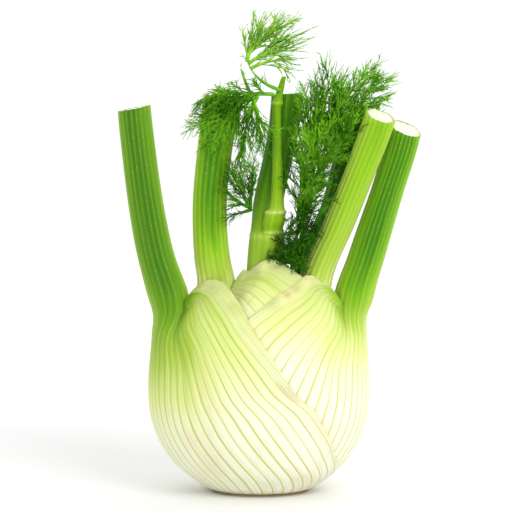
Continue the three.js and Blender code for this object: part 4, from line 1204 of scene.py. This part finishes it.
class FennelColours(bpy.types.PropertyGroup):
    flesh: colour_setting("Flesh", "Whitest part of the bulb", 0xF0EEDE)
    pale: colour_setting("Pale skin", "Bulb where the green begins", 0xD8E092)
    tender: colour_setting("Tender skin", "Yellow-green shoulder of the bulb", 0xA9C24A)
    ridge: colour_setting("Ridge", "Light crest between two veins", 0x86AC4A)
    vein: colour_setting("Vein", "Vein low on the bulb", 0xB6CA52)
    vein_green: colour_setting("Green vein", "Vein on the shoulder", 0x82B024)
    vein_deep: colour_setting("Deep vein", "Vein on the stalk", 0x2F6602)
    membrane: colour_setting("Membrane", "Thin veinless edge of a sheath", 0xB4BE7C)
    blush: colour_setting("Blush", "Faint warm patches", 0xDCC8A0)
    cut: colour_setting("Cut flesh", "Cut end of a stalk", 0xE8ECD2)
    fibre: colour_setting("Fibre", "Dots in a cut end", 0xB4CC80)
    dry: colour_setting("Dry edge", "Dried free edge of a sheath", 0xBC9258)
    root: colour_setting("Root end", "Cut root end", 0xC4B184)
    scar: colour_setting("Scar", "Dry brown scars", 0x8A6A3C)
    outer_stalk: colour_setting("Left stalk", "Deep green of the outer left stalk", 0x44780A)
    outer_bright: colour_setting("Left shoulder", "Green of the outer left shoulder", 0x6A9C1A)
    right_stalk: colour_setting("Right stalk", "Deep green of the outer right stalk", 0x3E7C02)
    right_bright: colour_setting("Right shoulder", "Green of the outer right shoulder", 0x74AC12)
    inner_stalk: colour_setting("Inner stalk", "Deep green of the inner left stalk", 0x4A8A02)
    inner_bright: colour_setting("Inner shoulder", "Green of the inner left stalk's foot", 0x8CBC1E)
    light_stalk: colour_setting("Light stalk", "Green of the inner right stalk", 0x6CA20A)
    light_bright: colour_setting("Light shoulder", "Green of the inner right stalk's foot", 0x8EBE1C)
    # painted shade: the innermost right stalk's two greens are darkened for the shadow of the fronds over it
    dark_stalk: colour_setting("Dark stalk", "Green of the innermost right stalk", 0x3C7404)
    dark_bright: colour_setting("Dark shoulder", "Lighter green of the innermost right stalk", 0x528C12)
    heart: colour_setting("Heart", "Green of the heart's stalk", 0x468402)
    heart_bright: colour_setting("Heart shoulder", "Lighter green of the heart's stalk", 0x86AE1C)
    shoot: colour_setting("Shoot", "Green of the young shoot", 0x689E02)
    shoot_bright: colour_setting("Shoot shoulder", "Lighter green of the young shoot", 0x84B012)
    # painted shade: the darkest frond green stands in for the shadow deep in the heart
    frond_shadowed: colour_setting("Frond depth", "Green of the fronds deep in the heart", 0x1C4402)
    frond_dark: colour_setting("Frond shade", "Darker green of the fronds", 0x3C8008)
    frond_light: colour_setting("Frond", "Green of the fronds", 0x86CC28)
    top_dark: colour_setting("Top frond shade", "Darker green of the top frond", 0x5CA61A)
    top_light: colour_setting("Top frond", "Light green of the top frond", 0xA2D046)
    floor: colour_setting("Floor", "Pale studio floor", 0xF9F9F9)


def settings(context):
    """The panel's sizes in millimetres, and its colours."""
    given = context.scene.fennel_sizes
    sizes = SimpleNamespace(threads=given.threads, needles=given.needles, seed=given.seed)
    for key in ("gap", "margin", "rib", "spine", "needle"):
        setattr(sizes, key, getattr(given, key) / MM)
    return sizes, context.scene.fennel_colours


class FENNEL_OT_outer_leaves(bpy.types.Operator):
    """Make the two outer leaves, whose sheaths make the bulb's outline"""

    bl_idname = "fennel.outer_leaves"
    bl_label = "Outer Leaves"

    def execute(self, context):
        sizes, colours = settings(context)
        for leaf in (OUTER_LEFT, OUTER_RIGHT):
            make_leaf(leaf, sizes, leaf_skin(leaf, colours))
        return {"FINISHED"}


class FENNEL_OT_inner_leaves(bpy.types.Operator):
    """Make the two leaves inside the outer ones, with their thin collars"""

    bl_idname = "fennel.inner_leaves"
    bl_label = "Inner Leaves"

    def execute(self, context):
        sizes, colours = settings(context)
        for leaf in (INNER_LEFT, INNER_RIGHT):
            make_leaf(leaf, sizes, leaf_skin(leaf, colours))
        return {"FINISHED"}


class FENNEL_OT_heart(bpy.types.Operator):
    """Make the dark innermost stalk, the heart's cut stalk and the young shoot"""

    bl_idname = "fennel.heart"
    bl_label = "Heart and Shoot"

    def execute(self, context):
        sizes, colours = settings(context)
        for stalk in (INNERMOST_RIGHT, HEART, SHOOT):
            make_round_stalk(stalk, sizes, leaf_skin(stalk, colours, stalk.striped))
        return {"FINISHED"}


class FENNEL_OT_fronds(bpy.types.Operator):
    """Make the feathery fronds"""

    bl_idname = "fennel.fronds"
    bl_label = "Fronds"

    def execute(self, context):
        sizes, colours = settings(context)
        green = frond_skin("frond_skin", colours.frond_shadowed, colours.frond_dark, colours.frond_light)
        light = frond_skin("top_frond_skin", colours.frond_shadowed, colours.top_dark, colours.top_light)
        for number, name in enumerate(FRONDS):
            make_frond(name, sizes, light if name == "top_frond" else green, sizes.seed + number)
        return {"FINISHED"}


class FENNEL_OT_root_plate(bpy.types.Operator):
    """Make the trimmed root end that the bulb stands on"""

    bl_idname = "fennel.root_plate"
    bl_label = "Root End"

    def execute(self, context):
        sizes, colours = settings(context)
        make_root_plate(sizes, root_skin(colours))
        return {"FINISHED"}


def aimed_object(scene, name, data, place, aim):
    """A lamp or a camera that looks at a point."""
    made = bpy.data.objects.new(name, data)
    made.location = place
    made.rotation_euler = (aim - place).to_track_quat("-Z", "Y").to_euler()
    scene.collection.objects.link(made)
    return made


class FENNEL_OT_stage(bpy.types.Operator):
    """Make the floor, the lights and the camera"""

    bl_idname = "fennel.stage"
    bl_label = "Stage"

    def execute(self, context):
        scene = context.scene
        bm = bmesh.new()
        bmesh.ops.create_grid(bm, x_segments=8, y_segments=8, size=FLOOR_REACH)
        mesh_object(bm, "floor", floor_skin(scene.fennel_colours.floor))
        world = bpy.data.worlds.new("studio")
        world.use_nodes = True
        background = world.node_tree.nodes["Background"]
        background.inputs["Color"].default_value = (1.0, 1.0, 1.0, 1.0)
        background.inputs["Strength"].default_value = SKY_STRENGTH
        scene.world = world
        for name, place, size, power in LAMPS:
            lamp = bpy.data.lights.new(name, "AREA")
            lamp.size = size
            lamp.energy = power
            aimed_object(scene, name, lamp, Vector(place), Vector(LAMP_AIM))
        lift = math.radians(CAMERA_LIFT)
        eye = bpy.data.cameras.new("camera")
        eye.lens = CAMERA_LENS
        eye.sensor_width = CAMERA_SENSOR
        aim = Vector(CAMERA_AIM)
        place = aim + Vector((0.0, -math.cos(lift), math.sin(lift)))
        scene.camera = aimed_object(scene, "camera", eye, place, aim)
        scene.view_settings.view_transform = "Standard"
        return {"FINISHED"}


class FENNEL_PT_panel(bpy.types.Panel):
    bl_label = "Fennel Bulb"
    bl_idname = "FENNEL_PT_panel"
    bl_space_type = "VIEW_3D"
    bl_region_type = "UI"
    bl_category = "Fennel"

    def draw(self, context):
        layout = self.layout
        for group in (context.scene.fennel_sizes, context.scene.fennel_colours):
            column = layout.column(align=True)
            for key in group.__annotations__:
                column.prop(group, key)
        for operator in OPERATORS:
            layout.operator(operator.bl_idname)


OPERATORS = (
    FENNEL_OT_outer_leaves, FENNEL_OT_inner_leaves, FENNEL_OT_heart, FENNEL_OT_fronds, FENNEL_OT_root_plate,
    FENNEL_OT_stage,
)
CLASSES = (FennelSizes, FennelColours) + OPERATORS + (FENNEL_PT_panel,)


def register():
    for item in CLASSES:
        bpy.utils.register_class(item)
    bpy.types.Scene.fennel_sizes = PointerProperty(type=FennelSizes)
    bpy.types.Scene.fennel_colours = PointerProperty(type=FennelColours)


def unregister():
    del bpy.types.Scene.fennel_colours
    del bpy.types.Scene.fennel_sizes
    for item in reversed(CLASSES):
        bpy.utils.unregister_class(item)


def main():
    register()
    bpy.ops.fennel.outer_leaves()
    bpy.ops.fennel.inner_leaves()
    bpy.ops.fennel.heart()
    bpy.ops.fennel.fronds()
    bpy.ops.fennel.root_plate()
    bpy.ops.fennel.stage()


if __name__ == "__main__":
    main()
